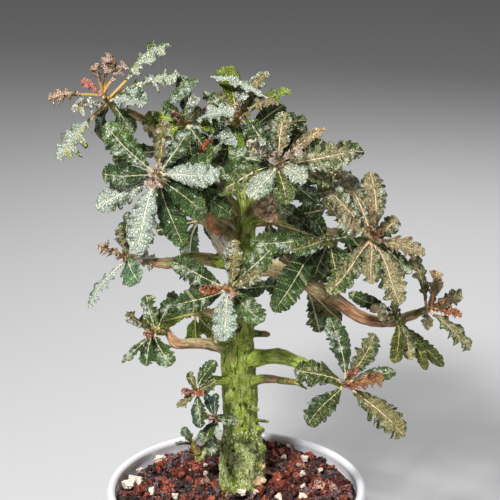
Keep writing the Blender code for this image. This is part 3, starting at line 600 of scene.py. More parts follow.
STUBS = [[(-8, -52, 9, 5), (-14, -52, 4, 5), (-20, -52, 0, 4.6)],
         [(-6, -49, 10, 4), (2, -50, 13, 2.6), (9, -50.5, 14, 1.8), (12, -50.3, 14, 1)],
         [(-4, -118, 8, 4.4), (7, -119, 4, 3.4), (9.8, -119, 3, 1.9)],
         [(-4, -106, 8, 3.4), (5, -107.5, 5, 2.4), (8.5, -108.5, 4, 1.2)],
         [(-3, -95, 4, 2.6), (3, -95.6, -2, 1.9), (5.6, -96, -4, 0.9)],
         [(0, -101, 6, 1.6), (8, -102.5, 4, 1.1), (11.5, -103, 3, 0.7)]]
KNOTS = [(0, -93, -1, 4), (-9.6, -120.6, -2, 4.2), (0.5, -117, -2, 3.6), (5.4, -138, 3, 4.6),
         (-14, -134, 4, 4.6), (-11, -70, 1, 3.4), (-2, -58, -1, 3.2), (-14, 8, 2, 5.6), (12, 22, 1, 5.4),
         (-10, -99, 1, 3.4)]
# How tan and how red each limb's bark is, each from its start to its end, and how fresh its green is
LIMB_TONES = {
    "trunk": (0, 0.25, 0, 0.1, 0), "left": (0.3, 0.7, 0, 0.3, 0), "far_left": (0.8, 1, 0.1, 0.1, 0),
    "top": (0.3, 0.6, 0.1, 0.2, 0), "right": (0.8, 1, -0.1, 0.62, 0), "back": (0.2, 0.5, 0, 0, 0),
    "front_right": (0, 0.15, 0, 0, 1), "left_branch": (0.55, 0.95, 0, 0.5, 0),
    "left_low": (0.35, 0.6, 0, 0.55, 0), "left_twig": (0, 0.3, 0, 0.2, 0.8),
    "bud_twig": (0.1, 0.7, 0, 0.5, 0.8), "low_sprig": (0, 0.3, 0, 0.1, 0.6),
    "low_right": (0.1, 0.4, 0, 0.2, 0.8), "stub": (0.15, 0.3, 0, 0.1, 0), "rim_sprig": (0, 0.2, 0, 0, 0)}
PLAIN_TONE = (0.4, 0.7, 0, 0.15, 0)

# Shoots are (right, up, depth), the way the rosette faces, the route that carries it, and
# leaves as (right, up, near, width) from the middle of the rosette to the tip
SHOOTS = {
    "far_left": {
        "at": (-86, 91, 5), "faces": (-0.4, 0.5, 0.8), "from": [(-59, 75, 12, 2.7), (-72, 83, 12, 2.4)],
        "leaves": [(38, 32, -8, 9), (44, 14, -14, 10), (24, -3, 20, 16), (-29, -37, 10, 12),
                   (-20, -8, 14, 9), (-4, -24, -14, 11), (16, -20, -17, 12)],
        "young": [(-35, -1, 8, 6), (-15, 11, 8, 5), (4, 26, 7, 7), (-5, 21, 14, 5), (11, 21, 2, 6)]},
    "left": {
        "at": (-56, 45, -35), "faces": (-0.1, 0.05, 1), "from": [(-34, 27, -2, 3.8), (-46, 37, -14, 3.2)],
        "leaves": [(-31, 31, 3, 16), (-32, 1, 10, 15), (-36, -20, 7, 13), (-12, -47, 2, 16), (38, 1, 7, 14),
                   (5, 33, -7, 11), (20, 27, -7, 13), (29, -25, -5, 15), (45, -24, -15, 15),
                   (16, -43, -10, 15)],
        "young": [(-2, -9, 15, 7), (3, 6, 15, 4)]},
    "top_left": {
        "at": (-39, 79, 0), "faces": (0, 0.5, 0.85), "from": [(-7, 50, 11, 3.2), (-24, 66, 10, 2.6)],
        "leaves": [(8, 23, 5, 10), (-14, 8, 10, 9), (30, 4, 14, 12), (9, 11, 19, 8), (17, -13, 15, 6),
                   (-9, -18, -8, 12), (12, -19, -10, 12), (-25, -3, -14, 12), (-2, 26, -20, 10)],
        "young": []},
    "top": {
        "at": (-8, 81, 5), "faces": (0, 0.7, 0.7), "from": [(-8, 60, 12, 3), (-9, 70, 12, 2.5)],
        "leaves": [(-8, 29, -7, 14), (4, 18, 7, 9), (-14, 24, 10, 7), (19, 26, -5, 9), (23, 8, 12, 8),
                   (33, 15, 0, 11), (-22, -8, 8, 12), (-1, -23, 8, 12), (17, -16, 5, 12),
                   (-20, 14, -14, 10), (12, 22, -24, 11)],
        "young": [(2, 8, 14, 4)]},
    "upper_right": {
        "at": (17, 52, -35), "faces": (0.1, 0.15, 1), "from": [(15, 27, 3, 5.6), (17, 38, -10, 3.6)],
        "leaves": [(4, 31, 0, 14), (46, 7, -3, 16), (28, 21, 3, 6), (16, -11, 17, 11), (-17, -21, 10, 14),
                   (5, -24, 10, 13), (-37, -18, -7, 13), (-18, 27, -5, 12), (-19, 13, 12, 9),
                   (-30, 6, -12, 12), (32, -12, -14, 14), (24, 34, -17, 12)],
        "young": [(14, 9, 15, 5), (-3, 7, 15, 4)]},
    "right_middle": {
        "at": (47, 6, -14), "faces": (-0.2, 0.1, 1), "from": [(13, 24, 4, 4.4), (28, 16, 4, 3.2)],
        "leaves": [(-47, -2, 10, 15), (-23, -6, 19, 12), (-11, 15, 12, 10), (-33, -43, 14, 17),
                   (-32, 22, -5, 10), (7, -24, -10, 12)],
        "young": []},
    "right": {
        "at": (74, 7, -30), "faces": (0.2, 0.15, 1), "from": [(47, -28, 14, 4.4), (58, -12, 0, 3.6)],
        "leaves": [(-2, 40, -3, 14), (-37, 41, -5, 13), (-22, 43, -10, 12), (-21, 10, 14, 13),
                   (31, -10, 10, 10), (-27, -33, 10, 15), (-2, -28, 8, 13), (16, -40, 3, 16),
                   (23, -21, -7, 8), (26, 20, -15, 11)],
        "young": [(-5, 23, 14, 6), (6, 6, 15, 4), (-4, 7, 15, 4)]},
    "far_right": {
        "at": (107, -35, 0), "faces": (0.5, 0.3, 0.8), "from": [(86, -43, 9.4, 3.4)],
        "leaves": [(6, 23, 0, 10), (-11, 34, -7, 9), (25, -25, 3, 13), (-2, -12, 15, 8), (20, 10, -15, 10)],
        "young": [(20, -5, 10, 7), (11, 6, 15, 5), (3, 9, 14, 4)]},
    "hanging_right": {
        "at": (89, -41, -11), "faces": (0.1, -0.1, 1), "from": [(80, -43, 10, 3.2)],
        "leaves": [(-2, -27, 8, 11), (8, -25, 2, 10), (17, -31, -5, 9), (27, -29, -12, 10),
                   (-12, 2, 12, 8)],
        "young": []},
    "low_right": {
        "at": (57.6, -80, -34), "faces": (0.15, 0.1, 1), "from": [(45, -75, -20, 3.4)],
        "leaves": [(-10, 40, -7, 13), (-31, 8, 5, 15), (-23, -25, 8, 15), (35, -32, 8, 16), (17, 30, 0, 13),
                   (30, 7, -5, 9)],
        "young": [(6, 10, 14, 6), (23, 3, 15, 8), (8, -3, 17, 4)]},
    "low_middle": {
        "at": (-12.6, -22.8, -40), "faces": (0, 0.05, 1), "from": [(-6, -34, 6, 4.6), (-9, -29, -10, 3.2)],
        "leaves": [(-34, 16, 3, 14), (-32, -10, 2, 13), (-4, -32, 12, 15), (21, -20, 12, 14),
                   (4, 29, 5, 12), (25, 23, 5, 14), (20, 10, 15, 9), (22, 1, -5, 11)],
        "young": [(-18, -1, 14, 6), (3, -5, 15, 4)]},
    "left_low": {
        "at": (-74, -4, 0), "faces": (-0.5, 0.1, 0.85),
        "from": [(-7, -10, 7, 4.6), (-30, -5, 4, 3.6), (-50, -8, 4, 3.2)],
        "leaves": [(7, -17, 15, 14), (1, 27, -3, 11), (-5, 18, 8, 7), (-23, -31, 7, 8), (16, -3, -12, 10)],
        "young": [(-20, 8, 10, 7), (-5, 3, 14, 4)]},
    "left_branch": {
        "at": (-58, -49, -16), "faces": (-0.5, 0.05, 0.85),
        "from": [(-13, -58, 8, 5), (-30, -56, 0, 3.5), (-44, -56, -7, 3.2)],
        "leaves": [(10, -20, 10, 14), (-5, -20, 7, 11), (-19, -18, 7, 6), (-16, 11, 7, 9), (-4, 22, 0, 11),
                   (12, 19, -3, 11)],
        "young": [(-2, -4, 14, 4)]},
    "left_twig": {
        "at": (-32.4, -84.6, -16), "faces": (-0.4, 0.05, 0.9),
        "from": [(-9, -80, 6, 3.8), (-22, -78.5, -7, 2.8)],
        "leaves": [(12, 18, 0, 9), (-4, 11, 3, 6), (-11, -8, 8, 6), (3, -22, 10, 11), (12, 6, 8, 7)],
        "young": [(-9, 0, 7, 4), (5, -2, 12, 4)]},
    "low_sprig": {
        "at": (-21, -101, -20), "faces": (-0.3, 0.1, 0.95),
        "from": [(-9, -103, 6, 3.2), (-15, -102, -6, 2.4)],
        "leaves": [(-6, 14, 3, 6), (1, 15, 2, 6), (14, -1, 8, 8), (-7, -15, 8, 9), (3, -13, 12, 5),
                   (-2, -23, 3, 8)],
        "young": [(-3, 2, 12, 4)]},
    "rim_sprig": {
        "at": (-35, -115, 2), "faces": (-0.3, 0.7, 0.5), "from": [(-12, -119, 8, 2.6), (-24, -118, 6, 1.9)],
        "leaves": [(-6, 8, 5, 6), (8, 6, 5, 6), (-9, -2, 10, 6)],
        "young": []},
    "bud_twig": {
        "at": (27, -79.4, -8), "faces": (0.9, -0.1, 0.3), "from": [(-2, -82, 8, 3.4), (4, -78, 1, 3.2)],
        "leaves": [(6, 3, 5, 4), (7, -4, 3, 4)],
        "young": []}}
# Shoots on the far side, which are filled by a rule: (right, up, depth), faces, route, leaves
BACK_SHOOTS = {
    "back_upper_left": ((-48, 60, 42), (-0.5, 0.5, -0.7), [(-4, 20, 50, 3.8), (-26, 44, 44, 3)], 6),
    "back_top": ((2, 72, 52), (0.1, 0.8, -0.6), [(-4, 24, 55, 3.8), (-1, 50, 54, 3)], 6),
    "back_upper_right": ((36, 54, 50), (0.5, 0.4, -0.7), [(-4, 22, 53, 3.8), (16, 40, 50, 3)], 6),
    "back_left": ((-32, 18, 66), (-0.5, 0.1, -0.9), [(-4, 14, 45, 3.8), (-18, 18, 52, 2.8)], 6),
    "back_middle": ((10, 20, 80), (0.2, 0.2, -0.9), [(-4, 26, 56, 3.8), (4, 24, 66, 2.8)], 6),
    "back_right": ((56, 12, 48), (0.6, 0.1, -0.8), [(-4, 16, 46, 3.6), (26, 18, 42, 2.8)], 6),
    "back_low_left": ((-34, -38, 44), (-0.6, -0.1, -0.7), [(-7, -40, 10, 4), (-20, -40, 30, 2.8)], 6),
    "back_low_right": ((34, -22, 50), (0.4, 0, -0.9), [(20, -14, 13, 4), (26, -18, 34, 2.8)], 6)}
BACK_LEAF_LENGTH, BACK_LEAF_WIDTH = 31.0, 12.5
GOLDEN_ANGLE = math.radians(137.5)
STEM_LENGTH, STEM_RADIUS, STEM_TAPER, LIMB_RUN_IN, GAP = 11.0, 2.1, 0.2, 4.0, 0.3
ROUTE_STEP, TUBE_SIDES = 1.2, 40
# The foot goes straight down from this far under the gravel
STRAIGHT_BELOW = 6.0
REMESH_CELL, EASE, EASE_ROUNDS = 0.86, 0.5, 4
# How far apart the grain of two limbs lies, and within what depth their tones run together
LIMB_APART, TONE_REACH = 400, 1.2
# A knot's ball has this share of its planned radius
KNOT_SHARE = 0.92
# So many points of the bark are matched with the limbs at a time
AT_ONCE = 4000
# The whitish crust low on the trunk: its top above the gravel, how far down from there it fades
# in, and how far up from the gravel it comes to its full strength
CRUST_TOP, CRUST_FADE, CRUST_FOOT = 54, 28, 12
# Marks are spots of the bark that the eye sees: (right, up, size, how pale, dark and pink, and how raised)
# The dark of a mark is partly the bark's own dark patches and partly painted shadow below stubs and limbs
# and in hollows
MARKS = [(-10, -120.5, 2, 0, 1, 0, -1.1), (-13.8, -128.6, 2, 0, 1, 0, -0.9), (4, -124, 3.4, 0, 0.7, 0, 1.3),
         (2, -129.5, 3.2, 0.1, 0.5, 0, 1.2), (6.4, -129.4, 2, 0.9, 0, 0, 1),
         (5.4, -138.8, 3.8, 1, 0, 0, -0.4), (-12.8, -132, 1.1, 0, 0.9, 0.6, -0.5),
         (-11.7, -134.2, 1.1, 0, 0.9, 0.6, -0.5), (-10.2, -136.2, 1.1, 0, 0.9, 0.6, -0.5),
         (-8, -137.2, 1.1, 0, 0.9, 0.6, -0.5), (-5.6, -137.8, 1.1, 0, 0.9, 0.6, -0.5),
         (-3.4, -137.8, 1.1, 0, 0.8, 0.6, -0.4), (-1.4, -137.4, 1, 0, 0.7, 0.6, -0.4),
         (-10.3, -138.8, 1, 0, 0.9, 0.6, -0.4), (-10, -141.2, 1, 0, 0.8, 0.6, -0.4),
         (-5.6, -131.2, 1.1, 0, 0, 1, 0.2), (-12.6, -127, 3.4, 0, 0.2, 0, 0.5), (-2, -134, 3, 0, 0, 0, 0.9),
         (-24, -118, 8, 0, 0.45, 0, 0.5), (8, -102.8, 4, 0, 0.6, 0, 0), (7, -108, 3.6, 0, 0.5, 0, 0),
         (3.5, -95.6, 2.6, 0, 0.5, 0.4, 0), (-3, -93.6, 3.6, 0, 0.75, 0, -0.5),
         (-12, -92.4, 1.8, 0, 0.6, 0, -0.5), (-8.6, -93, 1.5, 0, 0.5, 0, -0.5),
         (-6.8, -105.4, 3, 0, 0.3, 0.5, 0.9), (-4.6, -105.6, 1.4, 0, 1, 0, -0.8),
         (-5.8, -93.4, 1.5, 0, 1, 0, -0.7), (-0.6, -93, 2.2, 0, 0.5, 0, 0.8),
         (0.4, -94.4, 1.4, 0, 0.9, 0.6, -0.5), (4.8, -92.6, 1.4, 0.6, 0, 0.9, 0.8),
         (-10, -83.6, 2.4, 0, 0.8, 0, -0.5), (1.2, -70.4, 2, 0, 0.9, 0.3, -0.6),
         (-10.5, -60, 1.3, 0, 0, 1, 0.1), (-10.4, -65.5, 1.4, 0, 0.1, 1, 0.1),
         (-7.5, -47, 4.5, 0, 0.9, 0.2, 0.2), (-19.5, -52, 4.6, 1, 0, 0.15, 0), (-19, 4, 8, 1, 0, 0, 0.9),
         (-24, 13, 3.4, 0.3, 0.1, 0.9, 0.3), (-12, 13, 5, 0, 0.8, 0.3, 0), (-6, 10, 3, 0, 0, 1, 0.3),
         (10, 26, 10, 0.9, 0, 0, 1.2), (14, 20, 6, 0.8, 0, 0.2, 0.6), (15.5, 17, 3, 0.2, 0.2, 1, 0.2),
         (17, 32, 3, 0.1, 0.3, 1, 0.3), (5, 14, 3, 0.2, 0.6, 0.5, -0.2), (-1, 22, 5, 0, 0.55, 0.5, 0),
         (-2, 8, 4, 0, 0.5, 0, 0), (6, -50, 4, 0, 0.6, 0, 0), (10, -50.5, 3, 0, 0.3, 0.9, 0),
         (-30, -57.6, 3.4, 0, 0.3, 0.9, 0.4), (2.4, -81, 1.3, 0, 0.5, 0.9, 0.2),
         (30, -79.6, 2, 0.3, 0.1, 0.9, 0.2), (9.6, -119.4, 3.4, 0.26, 0.15, 0.2, 0),
         (-6.2, -93.8, 9, 0.15, 0, 0, -0.5), (-5, -113, 9, 0.2, 0, 0, -0.4)]
# How ragged a mark's edge is
MARK_EDGE = 0.22
# A strip of orange bark that curls up off the left knob
PEEL = [(-19, 10, -2, 1.6), (-23, 14, -5, 1.4), (-24, 20, -6, 1.0), (-23.4, 26, -5, 0.5)]
PEEL_SIDES = 10
# How fine the bark's flakes and lenticels are
FLAKE_SCALE, SPECK_SCALE = 520.0, 330.0


def back_leaves(name, count):
    """Leaves set round a shoot by the golden angle, as (right, up, near, width)."""
    rng = np.random.default_rng(sum(map(ord, name)))
    faces = unit(BACK_SHOOTS[name][1])
    across = unit(np.cross(faces, [0.0, 1.0, 0.1]))
    over = np.cross(across, faces)
    leaves = []
    for i in range(count):
        turn = i * GOLDEN_ANGLE + rng.uniform(-0.2, 0.2)
        length = BACK_LEAF_LENGTH * rng.uniform(0.85, 1.15)
        reach = length * (math.cos(turn) * across + math.sin(turn) * over + rng.uniform(0.05, 0.35) * faces)
        leaves.append((*reach, BACK_LEAF_WIDTH * rng.uniform(0.85, 1.15)))
    return leaves


for name, (spot, faces, route, count) in BACK_SHOOTS.items():
    leaves = back_leaves(name, count)
    SHOOTS[name] = {"at": spot, "faces": faces, "from": route, "leaves": leaves, "young": []}


def smooth_route(points, step):
    """Points every step or so along a smooth curve through the given ones, radii included."""
    given = np.asarray(points, float)
    padded = np.vstack([2 * given[0] - given[1], given, 2 * given[-1] - given[-2]])
    out = [given[0]]
    for a, b, c, d in zip(padded[:-3], padded[1:-2], padded[2:-1], padded[3:]):
        pieces = max(1, round(np.linalg.norm(c[:3] - b[:3]) / step))
        for i in range(1, pieces + 1):
            t = i / pieces
            curve = b + 0.5 * t * (c - a) + t * t * (a - 2.5 * b + 2 * c - 0.5 * d)
            out.append(curve + t ** 3 * (1.5 * (b - c) + 0.5 * (d - a)))
    return np.array(out)


def units(rows):
    return rows / np.linalg.norm(rows, axis=-1, keepdims=True)


def frames_along(route):
    """For each point of a route: the way along it, and two ways across it that turn evenly."""
    along = units(np.gradient(route[:, :3], axis=0))
    side = [unit(np.cross(along[0], (0.31, 0.52, 0.79)))]
    for way in along[1:]:
        side.append(unit(side[-1] - way * (side[-1] @ way)))
    side = np.array(side)
    return along, side, np.cross(along, side)


def bands(rows, turns):
    """The faces between each ring of points and the next."""
    j = np.arange(turns)
    k = (j + 1) % turns
    low = turns * np.arange(rows - 1)[:, None]
    return np.stack([low + j, low + k, low + turns + k, low + turns + j], axis=2).reshape(-1, 4).tolist()


def tube(route, sides):
    """A closed tube through (x, y, z, radius) rows, as points and faces."""
    _, side, over = frames_along(route)
    turns = 2 * np.pi * np.arange(sides) / sides
    ring = np.cos(turns)[:, None] * side[:, None] + np.sin(turns)[:, None] * over[:, None]
    points = (route[:, None, :3] + route[:, None, 3:] * ring).reshape(-1, 3)
    caps = [list(range(sides))[::-1], list(range(len(points) - sides, len(points)))]
    return points, caps + bands(len(route), sides)


def piled(parts):
    """Several (points, faces) as one."""
    points, faces, start = [], [], 0
    for spots, flats in parts:
        points.append(spots)
        faces += [[start + i for i in flat] for flat in flats]
        start += len(spots)
    return np.vstack(points), faces


def plain_mesh(name, points, faces):
    mesh = bpy.data.meshes.new(name)
    mesh.from_pydata((points * MM).tolist(), [], faces)
    return mesh


def ball(middle, radius):
    work = bmesh.new()
    bmesh.ops.create_icosphere(work, subdivisions=3, radius=radius)
    spots = np.array([v.co for v in work.verts]) + middle
    flats = [[v.index for v in f.verts] for f in work.faces]
    work.free()
    return spots, flats


def carried_end(shoot):
    """The last two points of the limb that carries a shoot, in line with the shoot's stem."""
    centre, faces = place(*shoot["at"]), turned_to(shoot["faces"])
    ends = ((LIMB_RUN_IN, 0.5 * (shoot["from"][-1][3] + STEM_RADIUS)), (0, STEM_RADIUS + STEM_TAPER))
    return [(*(centre - (STEM_LENGTH + GAP + run) * faces), radius) for run, radius in ends]


def limb_route(route, end=()):
    return smooth_route([*[(*place(*spot[:3]), spot[3]) for spot in route], *end], ROUTE_STEP)


def attach(thing, name, kind, values):
    """Stores values on a mesh's points as an attribute: FLOAT, FLOAT_VECTOR or FLOAT_COLOR."""
    key = {"FLOAT": "value", "FLOAT_VECTOR": "vector", "FLOAT_COLOR": "color"}[kind]
    data = thing.data.attributes.new(name, kind, "POINT").data
    data.foreach_set(key, np.asarray(values, np.float32).ravel())


x, y, top = place(*TRUNK[0][:3])
levels = (GRAVEL_LEVEL - FOOT_DEPTH, GRAVEL_LEVEL - STRAIGHT_BELOW, top)
underground = [(x, y, z, TRUNK_FOOT) for z in levels]
routes = {"trunk": np.vstack([smooth_route(underground, ROUTE_STEP)[:-1], limb_route(TRUNK)])}
routes.update({name: limb_route(route) for name, route in LIMBS.items()})
routes.update({f"stub_{i}": limb_route(route) for i, route in enumerate(STUBS)})
for name, shoot in SHOOTS.items():
    routes[f"carrier_{name}"] = limb_route(shoot["from"], carried_end(shoot))
skins = [tube(route, TUBE_SIDES) for route in routes.values()]
skins += [ball(place(*spot), KNOT_SHARE * radius) for *spot, radius in KNOTS]
tree = linked("barked_tree", plain_mesh("barked_tree", *piled(skins)))
fuse = tree.modifiers.new("fuse", "REMESH")
fuse.mode = "VOXEL"
fuse.voxel_size = REMESH_CELL * MM
ease = tree.modifiers.new("ease", "SMOOTH")
ease.factor = EASE
ease.iterations = EASE_ROUNDS
tree = evaluated(tree, "barked_tree")

# Each point of the bark takes the tone and the run of the grain from the limbs nearest to it
runs, tones, sides_at, overs_at = [], [], [], []
for i, (name, route) in enumerate(routes.items()):
    own = "stub" if name.startswith("stub") else name.removeprefix("carrier_")
    tan_from, tan_to, red_from, red_to, fresh = LIMB_TONES.get(own, PLAIN_TONE)
    share = np.linspace(0, 1, len(route))[:, None]
    tones.append(np.hstack([tan_from + (tan_to - tan_from) * share, red_from + (red_to - red_from) * share,
                            fresh + 0 * share]))
    along, side, over = frames_along(route)
    steps = np.linalg.norm(np.diff(route[:, :3], axis=0), axis=1)
    runs.append(np.concatenate([[0], np.cumsum(steps)]) + LIMB_APART * i)
    sides_at.append(side)
    overs_at.append(over)
every_route = np.vstack(list(routes.values()))
middles, radii, tones = every_route[:, :3], every_route[:, 3], np.vstack(tones)
runs, sides_at, overs_at = np.concatenate(runs), np.vstack(sides_at), np.vstack(overs_at)

count = len(tree.data.vertices)
spots, normals = np.empty(count * 3), np.empty(count * 3)
tree.data.vertices.foreach_get("co", spots)
tree.data.vertices.foreach_get("normal", normals)
spots, normals = spots.reshape(-1, 3) / MM, normals.reshape(-1, 3)
toned, grain_run = np.empty((count, 3)), np.empty((count, 3))
for low in range(0, count, AT_ONCE):
    part = spots[low:low + AT_ONCE]
    square = (part ** 2).sum(1)[:, None] + (middles ** 2).sum(1)[None] - 2 * part @ middles.T
    depth = np.abs(np.sqrt(np.maximum(square, 0)) - radii[None])
    nearest = depth.argmin(1)
    weight = np.exp(-(depth - depth.min(1)[:, None]) / TONE_REACH)
    toned[low:low + AT_ONCE] = weight @ tones / weight.sum(1)[:, None]
    off = part - middles[nearest]
    across, over = (off * sides_at[nearest]).sum(1), (off * overs_at[nearest]).sum(1)
    grain_run[low:low + AT_ONCE] = np.stack([across, over, runs[nearest]], axis=1)

# A mark lies where the eye's line to it meets the bark, and its edge is ragged
skin = BVHTree.FromObject(tree, bpy.context.evaluated_depsgraph_get())
eye_spot = Vector(SIGHT + EYE_DISTANCE * NEAR) * MM
x, y, z = spots.T
ragged = MARK_EDGE * np.sin(x * 2.9 + z * 2.3) * np.sin(z * 3.1 - y * 1.7)
marked, raised = np.zeros((count, 3)), np.zeros(count)
for right, up, size, pale, dark, pink, push in MARKS:
    way = Vector(SIGHT + right * RIGHT + up * UP) * MM - eye_spot
    struck = skin.ray_cast(eye_spot, way)[0]
    if struck is None:
        continue
    away = np.linalg.norm(spots - np.array(struck) / MM, axis=1) / size + ragged
    near = np.clip(1.25 - away, 0, 1) ** 1.3
    marked = np.maximum(marked, near[:, None] * np.array([pale, dark, pink]))
    raised += push * near


def rough(places):
    return np.array([noise.noise(Vector(spot)) for spot in places])


# Relief: broad swells, lumps, ridges along each limb, and crumbs low down. Lower down the bark
# is whiter with crust, and a tan limb is redder on its underside.
crumbs = rough(spots * 0.75) * np.clip((GRAVEL_LEVEL + 50 - spots[:, 2]) / 40, 0, 1)
relief = 0.7 * rough(spots * 0.075) + 0.5 * rough(spots * 0.21)
relief = relief + 0.55 * rough(grain_run * np.array([0.62, 0.62, 0.11])) + 0.5 * crumbs
spots += normals * (relief + raised)[:, None]
tree.data.vertices.foreach_set("co", (spots * MM).ravel())
toned[:, 1] += 0.4 * np.clip(-normals[:, 2] - 0.1, 0, 1) * (toned[:, 0] > 0.4)
rise = spots[:, 2] - GRAVEL_LEVEL
crust = np.clip((CRUST_TOP - rise) / CRUST_FADE, 0, 1) * np.clip((rise - 3) / CRUST_FOOT, 0.3, 1)
crust = crust * (toned[:, 0] < 0.2)
for name, values in zip(("tan", "red", "fresh", "pale", "dark", "pink", "crust", "relief"),
                        (*toned.T, *marked.T, crust, relief)):
    attach(tree, name, "FLOAT", values)
attach(tree, "grain", "FLOAT_VECTOR", grain_run * MM)

# Fissures, cracks, flakes with their seams, and lenticels all follow the grain
bark = Finish("bark")
along_grain = bark.attribute("grain", "Vector")
flakes_at = bark.stretched(along_grain, 1, 1, 0.5)
fissure = bark.ranged(bark.noise(bark.stretched(along_grain, 1, 1, 0.22), 860.0), 0.60, 0.65)
crack = bark.ranged(bark.noise(bark.stretched(along_grain, 1, 1, 0.34), 1500.0, 2.0), 0.57, 0.64)
flake_tone = bark.cells(flakes_at, FLAKE_SCALE, "F1", "Color")
flake = bark.ranged(flake_tone, 0.50, 0.58)
seam = bark.cells(flakes_at, FLAKE_SCALE, "DISTANCE_TO_EDGE", "Distance")
seam = bark.ranged(seam, 0.02, 0.12, 1.0, 0.0)
speck = bark.ranged(bark.cells(along_grain, SPECK_SCALE, "F1", "Distance"), 0.13, 0.20, 1.0, 0.0)
rare = bark.ranged(bark.cells(along_grain, SPECK_SCALE, "F1", "Color"), 0.62, 0.66)
lenticel = bark.times(speck, rare)
fibre = bark.noise(bark.stretched(along_grain, 1, 1, 0.12), 700.0, 4.0)
drift = bark.noise(flakes_at, 170.0, 4.0)
curl = bark.noise(bark.stretched(along_grain, 1, 1, 0.4), 420.0, 4.0)
fresh = bark.attribute("fresh")
whiter = bark.times(bark.attribute("crust"), bark.ranged(flake_tone, 0.30, 0.50))
green = bark.coated(bark.mottled((0.192, 0.252, 0.024), (0.325, 0.400, 0.066), 150.0, 0.35, 0.65)["Color"], [
    (bark.times(fresh, 0.90), (0.460, 0.600, 0.090)),
    (bark.times(flake, 0.45), (0.480, 0.540, 0.200)),
    (bark.times(whiter, 0.75), (0.64, 0.70, 0.36)),
    (bark.times(seam, 0.40), (0.090, 0.135, 0.016)),
    (bark.times(crack, 0.50), (0.070, 0.105, 0.012)),
    (bark.times(fissure, bark.minus(0.92, bark.times(fresh, 0.62))), (0.018, 0.030, 0.004)),
    (bark.times(lenticel, 0.75), (0.17, 0.065, 0.030))])
tan = bark.coated((0.46, 0.340, 0.160), [
    (bark.ranged(fibre, 0.38, 0.62), (0.66, 0.53, 0.30)),
    (bark.times(flake, 0.35), (0.54, 0.45, 0.26)),
    (bark.times(seam, 0.30), (0.13, 0.09, 0.03)),
    (bark.times(crack, 0.28), (0.10, 0.07, 0.025)),
    (bark.times(lenticel, 0.5), (0.16, 0.07, 0.035))])
rust = bark.mixed(bark.ranged(fibre, 0.4, 0.6), (0.28, 0.125, 0.065), (0.50, 0.285, 0.155))
paper = bark.coated((0.56, 0.43, 0.28), [
    (bark.ranged(fibre, 0.35, 0.6), (0.86, 0.77, 0.62)),
    (bark.ranged(curl, 0.56, 0.66, 0.0, 0.8), (0.16, 0.08, 0.03))])
tan_at = bark.plus(bark.attribute("tan"), bark.times(drift, 0.8))
rust_at = bark.plus(bark.attribute("red"), bark.times(drift, 1.2))
height = bark.minus(bark.minus(bark.times(flake_tone, 0.6), fissure), bark.times(crack, 0.4))
height = bark.plus(height, bark.times(fibre, 0.5))
tree.data.materials.append(bark.wear({
    "Base Color": bark.coated(green, [
        (bark.ranged(tan_at, 0.72, 1.0), tan),
        (bark.ranged(rust_at, 0.86, 1.12), rust),
        (bark.ranged(bark.attribute("pale"), 0.15, 0.45), paper),
        (bark.ranged(bark.attribute("pink"), 0.2, 0.7, 0.0, 0.8), rust),
        # Dark marks: dark bark, and painted shadow below stubs and limbs and in hollows
        (bark.ranged(bark.attribute("dark"), 0.2, 0.75, 0.0, 0.9), (0.022, 0.020, 0.009)),
        # Painted shade: the bark is darker where its relief sinks in
        (bark.ranged(bark.attribute("relief"), -0.6, -0.05, 0.42, 0.0), (0.05, 0.06, 0.015))]),
    "Roughness": 0.60, "Specular IOR Level": 0.20, "Normal": bark.bumped(height, 0.9, 0.0008)}))
tree.data.shade_smooth()
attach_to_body(tree, "root")
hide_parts("trunk_and_branches")

# Chips of old bark stand off the trunk's foot and, larger and curled, off the peeling knobs
CHIP_SHAPES, CHIP_THICKNESS = 4, 0.10
chips = bpy.data.collections.new("chip_shapes")
rng = np.random.default_rng(21)
for i in range(CHIP_SHAPES):
    work = bmesh.new()
    across, up_by = np.meshgrid(np.linspace(-0.5, 0.5, 3), np.linspace(-0.7, 0.7, 3))
    x = across * (1 - 0.4 * (up_by / 0.7) ** 2) + rng.uniform(-0.12, 0.12, (3, 3))
    y = up_by + rng.uniform(-0.14, 0.14, (3, 3))
    z = 0.9 * x ** 2 + 0.30 * y ** 2 + rng.uniform(-0.04, 0.04, (3, 3))
    under, over = ([work.verts.new(spot) for spot in zip(x.ravel(), y.ravel(), (z + rise).ravel())]
                   for rise in (0.0, CHIP_THICKNESS))
    for corner in (0, 1, 3, 4):
        quad = [corner, corner + 1, corner + 4, corner + 3]
        work.faces.new([over[k] for k in quad])
        work.faces.new([under[k] for k in reversed(quad)])
    ring = [0, 1, 2, 5, 8, 7, 6, 3]
    for a, b in zip(ring, ring[1:] + ring[:1]):
        work.faces.new([under[a], under[b], over[b], over[a]])
    bmesh.ops.recalc_face_normals(work, faces=work.faces)
    chips.objects.link(bpy.data.objects.new(f"chip_{i}", mesh_of(work, f"chip_{i}")))


def part_of_bark(wanted):
    """A copy of the tree's mesh that keeps only the faces whose corners are all wanted."""
    part = tree.data.copy()
    work = bmesh.new()
    work.from_mesh(part)
    work.verts.ensure_lookup_table()
    bmesh.ops.delete(work, geom=[work.verts[i] for i in np.flatnonzero(~wanted)], context="VERTS")
    work.to_mesh(part)
    work.free()
    return part


def chip_finish(name, one, two):
    chip = Finish(name)
    grainy = chip.noise(chip.coordinates(), 1800.0)
    return chip.wear({"Base Color": chip.mottled(one, two, 420.0, 0.40, 0.60)["Color"], "Roughness": 0.7,
                      "Normal": chip.bumped(grainy, 0.6, 0.0004)})


